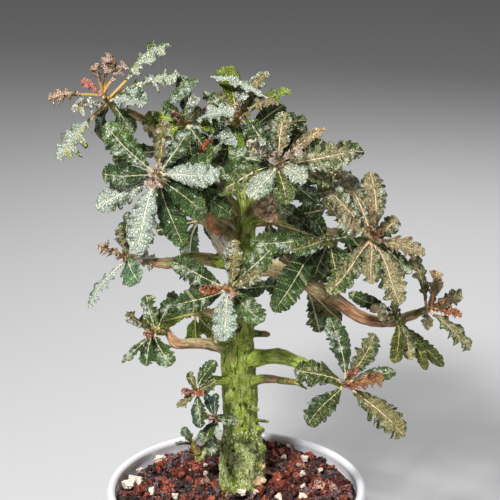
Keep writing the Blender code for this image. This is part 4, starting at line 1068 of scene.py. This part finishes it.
# The foot's chips keep off the marks and off the thinnest crust
crusted = (spots[:, 2] > GRAVEL_LEVEL - 2) & (crust > 0.30) & (marked.max(1) < 0.2)
foot_chips = strewn("foot_chips", part_of_bark(crusted), chips, {
    "Spacing": 2.2 * MM, "Size": 1.35 * MM, "Least": 0.4, "Most": 1.3, "Tumble": (0.1, 0.1, 0.6), "Seed": 4,
    "Finish": chip_finish("green_chips", (0.62, 0.68, 0.36), (0.42, 0.50, 0.17))})
peeling = (marked[:, 0] > 0.30) & (spots[:, 0] > 0)
knob_chips = strewn("knob_chips", part_of_bark(peeling), chips, {
    "Spacing": 3.4 * MM, "Size": 3.8 * MM, "Least": 0.5, "Most": 1.3, "Tumble": (0.5, 0.5, 1.2), "Seed": 6,
    "Finish": chip_finish("tan_chips", (0.80, 0.62, 0.42), (0.52, 0.27, 0.13))})
strip = linked("peeling_strip", plain_mesh("peeling_strip", *tube(limb_route(PEEL), PEEL_SIDES)))
strip.data.materials.append(chip_finish("orange_peel", (0.62, 0.26, 0.09), (0.40, 0.13, 0.05)))
facing_out(strip)
for layer in (foot_chips, knob_chips, strip):
    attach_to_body(layer, "root")


# The leaves
# Each shoot ends in a rosette of long leathery leaves, blistered between the veins and crisped at the
# lobed margins, with a raised cream midrib and a grey to silver scurf with painted sheen on its blisters.
# A leaf is a closed skin through rings from its root in the stem to its tip; the shoot's scarred stem is one
# more skin.

LEAF_RISE, LEAF_BEND_AT, WIDEST = 0.16, 0.42, 0.55
LEAF_THICKNESS, MARGIN_THICKNESS = 0.23, 0.06
# A leaf's stalk has half this width, and is this share of it thick
STALK_HALF, STALK_ROUND = 0.9, 0.85
STALK_ROWS, LOBE_ROWS, FEWER_ROWS, NARROW = 5, 8, 6, 8
# The blade opens out of the stalk over this share of it, and its last ring stands this near its end
OPENS_BY, LAST_RING, RIB_HALF = 0.12, 0.987, 0.46
STEM_ROWS, STEM_SIDES, SCAR_DEPTH, SCAR_TURNS = 34, 18, 0.22, 46
BUD_ROWS, BUD_SIDES, BUD_RADIUS, BUD_LENGTH = 16, 14, 1.3, 5.5
NEWEST_WIDTH = 2.6
LEAST_LOBES, MOST_LOBES = 4, 10
COLUMNS = np.array([-1, -0.88, -0.68, -0.46, -0.24, -0.05, 0, 0.05, 0.24, 0.46, 0.68, 0.88, 1])
# A planned tip may have been swung to clear its neighbours, by one of these
SWINGS = [0, 3, -3, 6, -6, 9, -9, 12, -12, 16, -16, 20, -20, 25, -25, 30, -30, 36, -36]
SAME_SPOT = 0.25
# Each look: the blade near its foot and near its tip, the rib, and how much scurf, with painted sheen, and
# dust it bears
LOOKS = {
    "green": ((0.048, 0.094, 0.024), (0.078, 0.138, 0.04), (0.62, 0.55, 0.31), 0.52, 0.1),
    "dusty": ((0.06, 0.1, 0.026), (0.088, 0.134, 0.042), (0.64, 0.57, 0.28), 0.42, 0.52),
    "shaded": ((0.024, 0.056, 0.014), (0.064, 0.112, 0.032), (0.5, 0.47, 0.24), 0.36, 0.08),
    "silver": ((0.07, 0.126, 0.052), (0.11, 0.17, 0.085), (0.74, 0.66, 0.46), 0.92, 0.05),
    "khaki": ((0.062, 0.108, 0.032), (0.096, 0.14, 0.046), (0.74, 0.55, 0.34), 0.46, 0.68),
    "tan": ((0.098, 0.094, 0.033), (0.146, 0.136, 0.066), (0.56, 0.42, 0.2), 0.6, 0.62),
    "lime": ((0.138, 0.221, 0.028), (0.202, 0.276, 0.046), (0.6, 0.5, 0.16), 0.2, 0.1),
    "olive": ((0.074, 0.101, 0.018), (0.101, 0.129, 0.026), (0.4, 0.34, 0.12), 0.05, 0.1),
    "frosted": ((0.175, 0.239, 0.046), (0.184, 0.276, 0.074), (0.56, 0.36, 0.1), 0.98, 0.05),
    "rusty": ((0.3, 0.075, 0.032), (0.42, 0.125, 0.062), (0.52, 0.2, 0.09), 0.3, 0.2),
    "teal": ((0.046, 0.106, 0.074), (0.064, 0.133, 0.092), (0.6, 0.62, 0.42), 0.5, 0),
    "mint": ((0.12, 0.215, 0.11), (0.18, 0.29, 0.16), (0.66, 0.68, 0.42), 0.58, 0),
    "coral": ((0.378, 0.117, 0.054), (0.504, 0.207, 0.126), (0.6, 0.28, 0.15), 0.48, 0.2),
    "copper": ((0.306, 0.135, 0.054), (0.432, 0.216, 0.108), (0.55, 0.3, 0.13), 0.46, 0.45),
    "frilled": ((0.297, 0.171, 0.05), (0.468, 0.27, 0.18), (0.5, 0.3, 0.09), 0.78, 0.2),
    "fawn": ((0.2, 0.13, 0.06), (0.5, 0.4, 0.29), (0.5, 0.38, 0.2), 0.8, 0.35),
    "orange": ((0.42, 0.2, 0.03), (0.72, 0.21, 0.03), (0.6, 0.3, 0.06), 0.1, 0.05),
    "satin": ((0.085, 0.13, 0.066), (0.115, 0.165, 0.09), (0.72, 0.7, 0.5), 0.66, 0.05),
    "yellow": ((0.28, 0.4, 0.06), (0.33, 0.44, 0.085), (0.6, 0.56, 0.2), 0.25, 0.05),
    "sandy": ((0.23, 0.18, 0.095), (0.4, 0.3, 0.19), (0.7, 0.55, 0.38), 0.45, 0.6),
    "pale": ((0.115, 0.15, 0.06), (0.16, 0.185, 0.09), (0.78, 0.62, 0.42), 0.58, 0.66),
    "rose": ((0.4, 0.11, 0.09), (0.56, 0.21, 0.19), (0.6, 0.28, 0.2), 0.52, 0.1)}
# Forms: how crisped, how deeply lobed, how folded, how long stalked, the length of a lobe, and
# the share of the planned width. A look that isn't named takes the plain form.
PLAIN_FORM = (0.42, 0.30, 0.12, 0.15, 4.0, 0.96)
TINY_FORM = (0.70, 0.60, 0.40, 0.15, 2.0, 1.0)
FORMS = {
    "silver": (0.46, 0.3, 0.14, 0.14, 3.8, 0.99), "satin": (0.24, 0.22, 0.22, 0.12, 4, 0.85),
    "pale": (0.52, 0.5, 0.14, 0.13, 4.4, 0.95), "sandy": (0.62, 0.6, 0.28, 0.13, 3.8, 1),
    "yellow": (0.3, 0.3, 0.12, 0.2, 4.2, 0.95), "rose": (0.9, 0.55, 0.4, 0.18, 2.4, 1),
    "mint": (0.2, 0.22, 0.06, 0.06, 2.8, 1.12), "khaki": (0.52, 0.5, 0.14, 0.13, 4.4, 0.9),
    "frosted": (0.9, 0.8, 0.25, 0.34, 4, 1), "frilled": (0.95, 0.75, 0.35, 0.4, 2.2, 1.4),
    "coral": (0.9, 0.7, 0.4, 0.18, 2.4, 0.9), "copper": (0.85, 0.75, 0.4, 0.14, 2.6, 1),
    "fawn": (0.85, 0.65, 0.4, 0.18, 3, 1.1), "lime": (0.3, 0.3, 0.12, 0.2, 4.2, 0.95),
    "olive": (0.22, 0.3, 0.08, 0.12, 4.6, 0.85), "rusty": (0.9, 0.5, 0.8, 0.2, 4, 0.7),
    "shaded": (0.34, 0.24, 0.1, 0.14, 4.6, 0.97), "tan": (0.54, 0.44, 0.25, 0.13, 3.8, 0.92)}
# The looks of each shoot's leaves, and of its young growth
SHOOT_LOOKS = {
    "far_left": "frosted frosted silver frosted fawn green green",
    "left": "green green silver silver silver tan green shaded shaded shaded",
    "top_left": "satin shaded silver silver rusty green green yellow green",
    "top": "lime silver silver tan sandy lime lime lime silver green dusty green green shaded",
    "upper_right": "khaki pale sandy silver silver dusty dusty green fawn green khaki shaded khaki",
    "right_middle": "green dusty green shaded green dusty",
    "right": "khaki pale pale tan sandy khaki khaki khaki green khaki",
    "far_right": "sandy khaki khaki tan khaki", "hanging_right": "olive khaki olive olive tan",
    "low_right": "green dusty dusty khaki khaki green",
    "low_middle": "green green silver green tan green tan shaded", "left_low": "mint green tan silver fawn",
    "left_branch": "green green green tan green green", "left_twig": "green dusty khaki green khaki",
    "low_sprig": "teal teal green green silver green", "rim_sprig": "mint mint mint",
    "bud_twig": "olive olive", "back_low_left": "yellow mint lime green yellow lime",
    "back_left": "lime green mint lime green shaded"}
BACK_LOOKS = "green khaki green shaded green khaki"
YOUNG_LOOKS = {
    "far_left": "frilled rose frilled frilled frilled", "left": "fawn fawn", "top": "fawn",
    "upper_right": "fawn fawn", "right": "sandy coral copper", "far_right": "coral copper coral",
    "low_right": "coral copper coral", "low_middle": "coral frilled", "left_low": "fawn frilled",
    "left_branch": "coral", "left_twig": "rose coral", "low_sprig": "frilled"}
BARE_TIP_LOOKS = ["dusty", "olive", "dusty", "green"]
# Leaves beside the plan's own, that fill the crown: (right, up, near, width) from the rosette's middle
MORE_LEAVES = {
    "top": [(-18, -27, 2, 11, "green"), (-9, -31, -6, 12, "shaded"), (8, -28, -4, 11, "dusty")],
    "top_left": [(20, -30, -6, 12, "green"), (4, -31, -10, 12, "shaded"), (31, -17, 2, 11, "silver"),
                 (-17, -12, 2, 9, "yellow"), (-24, 2, -4, 8, "yellow"), (15, 7, 6, 4, "orange"),
                 (-8, 4, 10, 4, "coral"), (5, 15, 2, 5, "fawn")],
    "upper_right": [(24, -24, -12, 13, "green"), (-36, -8, -10, 13, "shaded")],
    "left": [(40, -12, -12, 12, "shaded"), (18, 12, -10, 11, "green"), (33, 10, -12, 13, "green")],
    "right_middle": [(22, 4, -10, 12, "shaded"), (-9, -24, -10, 13, "shaded"), (16, -18, -14, 12, "green")],
    "hanging_right": [(-30, 15, 6, 9, "green"), (-17, 7, 8, 8, "khaki"), (-4, 9, 10, 7, "khaki")]}
# How near a leaf stands to its planned place rather than where it was swung to
HALF_WAY = 0.5
NEARER_PLAN = {"top": 0.75, "far_right": 0.7}
# The share of a leaf's length that is kept where it has dried back or grown longer
KEPT_LENGTH = {
    ("right", 9): 0.6, ("top", 0): 1.07, ("left_low", 0): 0.86, ("upper_right", 11): 0.65,
    ("back_upper_right", 3): 0.55, ("back_low_left", 1): 0.6, ("back_low_left", 2): 0.5}
# Leaves that grow from the limb or twig beside their rosette: (right, up, depth) of the leaf's foot
OWN_FOOT = {("top_left", 0): (-56, 77, 8), ("top_left", 4): (-33, 56, -18), ("top", 2): (17, 87, 2)}
STEM_FOOT_TINT, STEM_TOP_TINT = np.array([0.26, 0.23, 0.075]), np.array([0.33, 0.28, 0.08])
KHAKI_SHOOTS = ("upper_right", "right", "far_right", "hanging_right")


def eased(low, high, value):
    share = np.clip((value - low) / (high - low), 0, 1)
    return share * share * (3 - 2 * share)


def blade_outline(q):
    """The blade's share of its full width, from its foot at 0 to its round end at 1."""
    low = np.sin(0.5 * np.pi * np.clip(q / WIDEST, 0, 1)) ** 0.78
    high = np.sqrt(np.clip(1 - (np.clip(q - WIDEST, 0, 1) / (1 - WIDEST)) ** 2.2, 0, 1))
    return np.where(q < WIDEST, low, high)


def lobed(u, teeth, rng):
    """Uneven lobes down one side: how far through which lobe each row is, and the lobe's own size."""
    shift = rng.uniform(0, 6.28, 2)
    warped = u + 0.20 * np.sin(1.9 * u + shift[0]) + 0.14 * np.sin(4.3 * u + shift[1])
    sizes = rng.uniform(0.45, 1.45, teeth + 3)
    return warped, sizes[np.clip(np.floor(warped).astype(int) + 1, 0, teeth + 2)]


def leaf_rib(root, tip, faces, s, rng):
    """The arched rib at each share s of its length, and the ways along, across and out of the blade."""
    length = np.linalg.norm(tip - root)
    bend = root + LEAF_BEND_AT * (tip - root) + LEAF_RISE * length * faces
    rib = (1 - s) ** 2 * root + 2 * s * (1 - s) * bend + s * s * tip
    along = units(2 * (1 - s) * (bend - root) + 2 * s * (tip - bend))
    side = units(np.cross(along, faces))
    bow = rng.uniform(-0.045, 0.045) * length * np.sin(np.pi * s)
    bow = bow + rng.uniform(-0.02, 0.02) * length * np.sin(2 * np.pi * s)
    return rib + bow * side, along, side, np.cross(side, along)


def margin(q, width, teeth, crisp, depth, rng):
    """The lobed and crisped blade: each point's place in its lobe, and how far it lies across, along
    and out of the blade's plane."""
    t = COLUMNS[None]
    left, right = (lobed(teeth * q, teeth, rng) for _ in range(2))
    u = np.where(t < 0, left[0], np.where(t > 0, right[0], teeth * q))
    size = np.where(t < 0, left[1], right[1])
    lobes = np.abs(np.sin(np.pi * u)) ** 0.65 + 0.15 * np.abs(np.sin(3 * np.pi * u + 0.6))
    half = 0.5 * width * blade_outline(q) * (1 + depth * size * (lobes - 0.68))
    half = np.maximum(half, STALK_HALF + 0 * t)
    open_blade = eased(0.0, OPENS_BY, q)
    shift = 0.60 * half * np.abs(t) * open_blade * np.sqrt(np.clip(1 - q, 0, 1))
    phase = rng.uniform(0, 6.28, 3)
    wave = 0.75 * np.sin(np.pi * u * rng.uniform(0.8, 1.1) + phase[0] + 2.0 * (t > 0))
    wave = wave + 0.5 * np.cos(2 * np.pi * u) * size + 0.35 * np.sin(3.7 * u + phase[2] + 4 * t)
    lift = crisp * np.minimum(half, 0.62 * width) * np.abs(t) ** 1.8 * np.clip(wave, -0.85, 0.95)
    puff = np.cos(np.pi * u) ** 2 * np.clip(1.1 - np.abs(t), 0, 1) * np.clip(np.abs(t) * 4, 0, 1)
    puff = puff * (1 + 0.5 * np.sin(9 * np.abs(t) + phase[1] + 1.7 * np.floor(u)))
    lift = lift + 0.65 * puff * np.minimum(1, half / 4)
    lift = (lift + rng.uniform(-0.12, 0.3) * half * np.abs(t) ** 1.3) * open_blade
    return u, half, shift, lift


def leaf_tints(look, u, q, order, rng):
    """A leaf's point attributes: its colours, where its rib is, its scurf with painted sheen, its dust, and
    its veins.
    """
    columns = COLUMNS[order][None]
    share = np.repeat(q, len(order), axis=1)
    edge = np.abs(columns) + 0 * share
    foot_tint, tip_tint, rib_tint, scurf, dust = look
    own = rng.uniform(0.75, 1.25) * np.array([rng.uniform(0.90, 1.12), 1, rng.uniform(0.88, 1.08)])
    blend = eased(0.35, 1.0, share + 0.3 * edge ** 2 - 0.1)[..., None]
    tint = (np.array(foot_tint) * (1 - blend) + np.array(tip_tint) * blend) * own
    rib = np.where(columns == 0, 1.0, np.where(np.abs(columns) < 0.1, 0.5, 0.0)) + 0 * share
    sided = 0.86 + 0.28 * eased(-0.6, 0.6, columns * rng.choice([-1, 1]) + 0 * share)
    edging = 0.4 if dust > 0.3 else -0.3
    return {"tint": tint, "rib_tint": np.array(rib_tint) + 0 * tint,
            "rib": np.maximum(rib, 1 - eased(0.01, 0.07, share)),
            "scurf": scurf * rng.uniform(0.88, 1.12) * (1 + edging * (edge ** 2 - 0.4)) * sided,
            "dust": dust * rng.uniform(0.75, 1.2) * (1.15 - 0.5 * edge ** 2) * (2 - sided),
            "vein": np.stack([u[:, order], columns + 0 * share, share], axis=2)}


def leaf_skin(root, tip, faces, width, look, form, rng, lobe_rows=LOBE_ROWS):
    """A leaf's closed skin as points, faces and point attributes."""
    crisp, depth, fold, stalk, lobe_length, wide_share = form
    width = width * wide_share
    teeth = round(np.linalg.norm(tip - root) * (1 - stalk) / lobe_length)
    teeth = int(np.clip(teeth, LEAST_LOBES, MOST_LOBES))
    lobe_rows = lobe_rows if width > NARROW else FEWER_ROWS
    blade_rows = LAST_RING * np.arange(teeth * lobe_rows + 1) / (teeth * lobe_rows)
    stalk_rows = np.linspace(0, stalk, STALK_ROWS)[:-1]
    s = np.concatenate([stalk_rows, stalk + (1 - stalk) * blade_rows])[:, None]
    q = np.clip((s - stalk) / (1 - stalk), 0, 1)
    rib, along, side, normal = leaf_rib(root, tip, faces, s, rng)
    roll = rng.uniform(-0.25, 0.25) * q + rng.uniform(-0.12, 0.12)
    side, normal = (np.cos(roll) * side + np.sin(roll) * normal, np.cos(roll) * normal - np.sin(roll) * side)
    u, half, shift, lift = margin(q, width, teeth, crisp, depth, rng)
    open_blade = eased(0.0, OPENS_BY, q)
    t = COLUMNS[None]
    across = np.where(np.abs(t) < 0.1, np.sign(t) * RIB_HALF * (1 - 0.5 * q), t * half)
    turn = fold * open_blade
    raise_by = np.abs(across) * np.sin(turn) + lift * np.cos(turn)
    spread = across * np.cos(turn) - np.sign(t) * lift * np.sin(turn)
    middle = rib[:, None] + spread[..., None] * side[:, None] + raise_by[..., None] * normal[:, None]
    middle = middle + shift[..., None] * along[:, None]

    # The skin's own normals come from its slopes along and across
    outward = units(np.cross(np.gradient(middle, axis=1), np.gradient(middle, axis=0)) + 1e-9)
    outward *= np.sign((outward * normal[:, None]).sum(2, keepdims=True) + 1e-9)
    stalk_share = np.clip(1 - (across / np.maximum(np.abs(half), STALK_HALF)) ** 2, 0, 1)
    round_stalk = STALK_ROUND * np.sqrt(stalk_share) * (1 - open_blade)
    thin = MARGIN_THICKNESS + (LEAF_THICKNESS - MARGIN_THICKNESS) * (1 - np.abs(t) ** 2)
    thin = np.where(np.abs(t) == 1, 0, thin)
    ribbed = np.exp(-(across / 0.5) ** 2) * (1 - 0.65 * q)
    top = middle + ((thin + 0.34 * ribbed) * open_blade + round_stalk)[..., None] * outward
    bottom = middle - ((thin + 0.75 * ribbed) * open_blade + round_stalk)[..., None] * outward
    order = np.concatenate([np.arange(len(COLUMNS)), np.arange(len(COLUMNS) - 2, 0, -1)])
    ring = np.concatenate([top, bottom[:, order[len(COLUMNS):]]], axis=1)
    rows, turns = ring.shape[:2]
    points = np.vstack([ring.reshape(-1, 3), (tip + 0.2 * along[-1])[None]])
    last = (rows - 1) * turns
    flats = [list(range(turns))[::-1], *bands(rows, turns)]
    flats += [[last + j, last + (j + 1) % turns, len(points) - 1] for j in range(turns)]
    values = {name: np.concatenate([v.reshape(rows * turns, -1), v[-1, -1:].reshape(1, -1)])
              for name, v in leaf_tints(look, u, q, order, rng).items()}
    return points, flats, values


def shaft_skin(route, radius, sides, foot_tint, top_tint, brightness, scurf, dust):
    """A round stem or bud as points, faces and point attributes."""
    points, flats = tube(np.column_stack([route, radius]), sides)
    at = np.repeat(np.linspace(0, 1, len(route)), sides)[:, None]
    tint = foot_tint * (1 - at) + top_tint * at
    values = {"tint": tint * brightness, "rib_tint": tint, "rib": 0 * at, "scurf": scurf + 0 * at,
              "dust": dust + 0 * at, "vein": 0 * tint}
    return points, flats, values


def stem_skin(foot, centre, rng):
    """The shoot's stem: a round shaft ringed with the scars of fallen leaves, domed at its top."""
    share = np.linspace(0, 1, STEM_ROWS)
    scars = SCAR_DEPTH * np.sin(share * SCAR_TURNS + rng.uniform(0, 6)) ** 3
    radius = STEM_RADIUS + STEM_TAPER * (1 - 2 * share) + scars
    dome = np.array([[0.35, 0.86], [0.7, 0.5], [0.85, 0.2]])
    shaft = foot + share[:, None] * (centre - foot)
    route = np.vstack([shaft, centre + unit(centre - foot) * dome[:, :1] * STEM_RADIUS])
    radius = np.concatenate([radius, radius[-1] * dome[:, 1]])
    tints = STEM_FOOT_TINT, STEM_TOP_TINT
    return shaft_skin(route, radius, STEM_SIDES, *tints, rng.uniform(0.85, 1.1), 0.12, 0.2)


def bud_skin(low, high, rng):
    """A young shoot's core, as a lumpy tapering shaft."""
    share = np.linspace(0, 1, BUD_ROWS)
    radius = BUD_RADIUS * (1 - 0.6 * share ** 1.5) * (1 + 0.12 * np.sin(share * 30 + rng.uniform(0, 6)))
    tints = 0.8 * np.array(LOOKS["coral"][0]), np.array(LOOKS["coral"][1])
    return shaft_skin(low + share[:, None] * (high - low), radius, BUD_SIDES, *tints, 1.0, 0.2, 0.1)


def plan_leaf(shoot, index, kind, leaf):
    """A leaf of the plan: its root inside the stem or bud, its tip, and how it faces."""
    (right, up, depth), (over, above, near, width) = shoot["at"], leaf
    faces = turned_to(shoot["faces"])
    along = -1.4 - 0.75 * index if kind == "leaves" else 2.2 + 0.5 * index
    tip = seen(right + over, up + above, nearness(up, depth) + near)
    return place(right, up, depth) + along * faces, tip, faces, width


def swung_tip(root, tip, faces, known):
    """The tip as the leaf really stands, swung clear of its neighbours, or None if it isn't there."""
    length = np.linalg.norm(tip - root)
    for swing in SWINGS:
        stands = root + length * unit(tip + swing * faces - root)
        if known.find(Vector(stands) * MM)[2] < SAME_SPOT * MM:
            return stands
    return None


def leaf_piece(name, skins):
    """One piece from the skins of a shoot, with their attributes joined."""
    piece = linked(name, plain_mesh(name, *piled([skin[:2] for skin in skins])))
    for label in skins[0][2]:
        joined = np.vstack([skin[2][label] for skin in skins])
        if "tint" in label:
            attach(piece, label, "FLOAT_COLOR", np.column_stack([joined, np.ones(len(joined))]))
        else:
            attach(piece, label, "FLOAT_VECTOR" if label == "vein" else "FLOAT", joined)
    facing_out(piece)
    piece.data.shade_smooth()
    return piece


def leaf_finish(name, silver, dust_tone):
    """Leaf skin: tinted, sunk at the veins and between blisters with painted shade in the troughs and
    creases, dusted, scurfed with painted sheen on the blister tops, and ribbed.
    """
    leaf = Finish(name)
    where = leaf.coordinates()
    at = leaf.add("ShaderNodeSeparateXYZ", {0: leaf.attribute("vein", "Vector")}).outputs
    tint, rib_tint = leaf.attribute("tint", "Color"), leaf.attribute("rib_tint", "Color")
    dome = leaf.ranged(leaf.cells(where, 640.0, "DISTANCE_TO_EDGE", "Distance"), 0.0, 0.30)
    drift = leaf.noise(where, 230.0, 4.0)
    patches = leaf.noise(where, 420.0, 5.0)
    fine = leaf.noise(where, 1500.0)
    off = leaf.worked("ABSOLUTE", leaf.minus(leaf.worked("FRACT", at[0]), 0.5))
    blade = leaf.ranged(at[2], 0.02, 0.06)
    vein = leaf.times(leaf.ranged(off, 0.025, 0.075, 1.0, 0.0), blade)
    shaded_trough = leaf.times(leaf.ranged(off, 0.06, 0.24, 1.0, 0.0), blade)
    rib = leaf.ranged(leaf.attribute("rib"), 0.38, 0.60)
    bright = leaf.mixed(1.0, tint, (2.2, 2.0, 1.4), "MULTIPLY")
    # The tint darkened, for painted shade
    dark = leaf.mixed(1.0, tint, (0.22, 0.34, 0.22), "MULTIPLY")
    dust_at = leaf.plus(leaf.attribute("dust"), leaf.times(patches, 1.3))
    dust_at = leaf.ranged(leaf.plus(dust_at, leaf.times(fine, 0.35)), 1.29, 1.55)
    scurf_and_sheen_at = leaf.plus(leaf.attribute("scurf"), leaf.times(patches, 0.9))
    scurf_and_sheen_at = leaf.plus(leaf.plus(scurf_and_sheen_at, leaf.times(drift, 1.3)), leaf.times(fine, 0.55))
    # Silver, strongest on the blister tops: scurf, and painted sheen
    scurf = leaf.times(leaf.ranged(scurf_and_sheen_at, 1.90, 2.30), leaf.ranged(dome, 0.0, 0.35, 0.55, 1.0))
    height = leaf.minus(leaf.plus(dome, leaf.times(fine, 0.5)), leaf.times(vein, 0.5))
    return leaf.wear({
        "Base Color": leaf.coated(tint, [
            (leaf.ranged(drift, 0.40, 0.62), bright),
            # Painted shade darkens the troughs beside the side veins and the creases between blisters
            (leaf.times(shaded_trough, 0.45), dark),
            (leaf.ranged(dome, 0.0, 0.45, 0.65, 0.0), dark),
            (leaf.times(leaf.times(dust_at, leaf.minus(1.0, leaf.times(shaded_trough, 0.5))), 0.85), dust_tone),
            (leaf.times(scurf, 0.92), silver),
            (leaf.times(vein, 0.9), leaf.mixed(0.5, bright, rib_tint)),
            (rib, rib_tint)]),
        "Roughness": leaf.ranged(scurf, 0.0, 1.0, 0.36, 0.42),
        "Normal": leaf.bumped(leaf.times(height, leaf.minus(1.0, rib)), 1.0, 0.0011)})


# Each finish: its silver, which is scurf and painted sheen, and its dust
FINISHES = {"leaf_green": leaf_finish("leaf_green", (0.74, 0.82, 0.71), (0.38, 0.33, 0.13)),
            "leaf_khaki": leaf_finish("leaf_khaki", (0.74, 0.80, 0.64), (0.52, 0.42, 0.23)),
            "leaf_coral": leaf_finish("leaf_coral", (0.80, 0.61, 0.55), (0.48, 0.24, 0.13))}

for name, shoot in SHOOTS.items():
    rng = np.random.default_rng(sum(map(ord, name)) + 5)
    centre, faces = place(*shoot["at"]), turned_to(shoot["faces"])
    for kind in ("leaves", "young"):
        node = f"{name}_{kind}"
        if node not in frame["nodes"]:
            continue
        solid = frame["nodes"][node]
        known = kdtree.KDTree(len(solid.data.vertices))
        for i, spot in enumerate(solid.data.vertices):
            known.insert(solid.matrix_world @ spot.co, i)
        known.balance()
        if kind == "leaves":
            skins = [stem_skin(centre - STEM_LENGTH * faces, centre, rng)]
            looks = SHOOT_LOOKS.get(name, BACK_LOOKS).split()
            newest = [] if f"{name}_young" in frame["nodes"] else BARE_TIP_LOOKS
            slot = "leaf_khaki" if name in KHAKI_SHOOTS else "leaf_green"
            more = MORE_LEAVES.get(name, [])
        else:
            skins = [bud_skin(centre + GAP * faces, centre + BUD_LENGTH * faces, rng)]
            looks = YOUNG_LOOKS[name].split()
            newest = ["fawn", looks[0], "dusty", looks[-1]]
            slot = "leaf_coral"
            more = []
        for i, leaf in enumerate(shoot[kind]):
            root, tip, way, width = plan_leaf(shoot, i, kind, leaf)
            stands = swung_tip(root, tip, way, known)
            if stands is None:
                continue
            root = place(*OWN_FOOT[name, i]) if kind == "leaves" and (name, i) in OWN_FOOT else root
            tip = stands + NEARER_PLAN.get(name, HALF_WAY) * (tip - stands)
            tip = root + KEPT_LENGTH.get((name, i), 1.0) * (tip - root)
            look = looks[i % len(looks)]
            skins.append(leaf_skin(root, tip, way, width, LOOKS[look], FORMS.get(look, PLAIN_FORM), rng,
                                   FEWER_ROWS if name in BACK_SHOOTS else LOBE_ROWS))
        for i, (*leaf, look) in enumerate(more):
            root, tip, way, width = plan_leaf(shoot, i + 4, kind, leaf)
            skins.append(leaf_skin(root, tip, way, width, LOOKS[look], FORMS.get(look, PLAIN_FORM), rng))
        # The newest leaves stand round the shoot's tip
        across = unit(np.cross(faces, (0.3, 0.1, 0.9)))
        for i, look in enumerate(newest):
            turn = i * GOLDEN_ANGLE + rng.uniform(-0.3, 0.3)
            outward = math.cos(turn) * across + math.sin(turn) * np.cross(faces, across)
            root = centre + (1.0 + 0.6 * i) * faces
            reach = rng.uniform(4.0, 6.5) - 0.3 * i
            tip = root + reach * unit(outward + rng.uniform(0.5, 1.1) * faces)
            skins.append(leaf_skin(root, tip, faces, NEWEST_WIDTH, LOOKS[look], TINY_FORM, rng))
        piece = leaf_piece(f"{node}_crisped", skins)
        piece.data.materials.append(FINISHES[slot])
        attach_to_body(piece, "root")
        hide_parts(node)


# Floor and light
# A pale floor and soft studio light: a key light from the upper left, a wide weak fill from the
# right and a rim light from behind, in a dim and nearly white surround.

FLOOR_REACH = 6.0
CROWN = (0, 0, 0.24)
SURROUND, SURROUND_STRENGTH = (0.92, 0.91, 0.88, 1), 0.11

mesh = bpy.data.meshes.new("floor")
corners = [(-1, -1), (1, -1), (1, 1), (-1, 1)]
mesh.from_pydata([(x * FLOOR_REACH, y * FLOOR_REACH, 0) for x, y in corners], [], [(0, 1, 2, 3)])
mesh.materials.append(Finish("pale_floor").wear({"Base Color": (0.62, 0.62, 0.63), "Roughness": 0.8}))
linked("floor", mesh)


def softbox(name, spot, size, power):
    """A square area light at a spot, in metres, that faces the crown."""
    light = bpy.data.lights.new(name, "AREA")
    light.size = size
    light.energy = power
    thing = bpy.data.objects.new(name, light)
    thing.location = spot
    thing.rotation_euler = (Vector(CROWN) - Vector(spot)).to_track_quat("-Z", "Y").to_euler()
    bpy.context.collection.objects.link(thing)


softbox("key", (-0.42, -0.95, 1.15), 0.20, 30.5)
softbox("fill", (1.0, -1.0, 0.6), 0.8, 3)
softbox("rim", (0.35, 0.9, 1.0), 0.5, 8)
world = bpy.data.worlds.new("studio")
world.use_nodes = True
world.node_tree.nodes["Background"].inputs[0].default_value = SURROUND
world.node_tree.nodes["Background"].inputs[1].default_value = SURROUND_STRENGTH
bpy.context.scene.world = world
bpy.context.scene.view_settings.view_transform = "Standard"
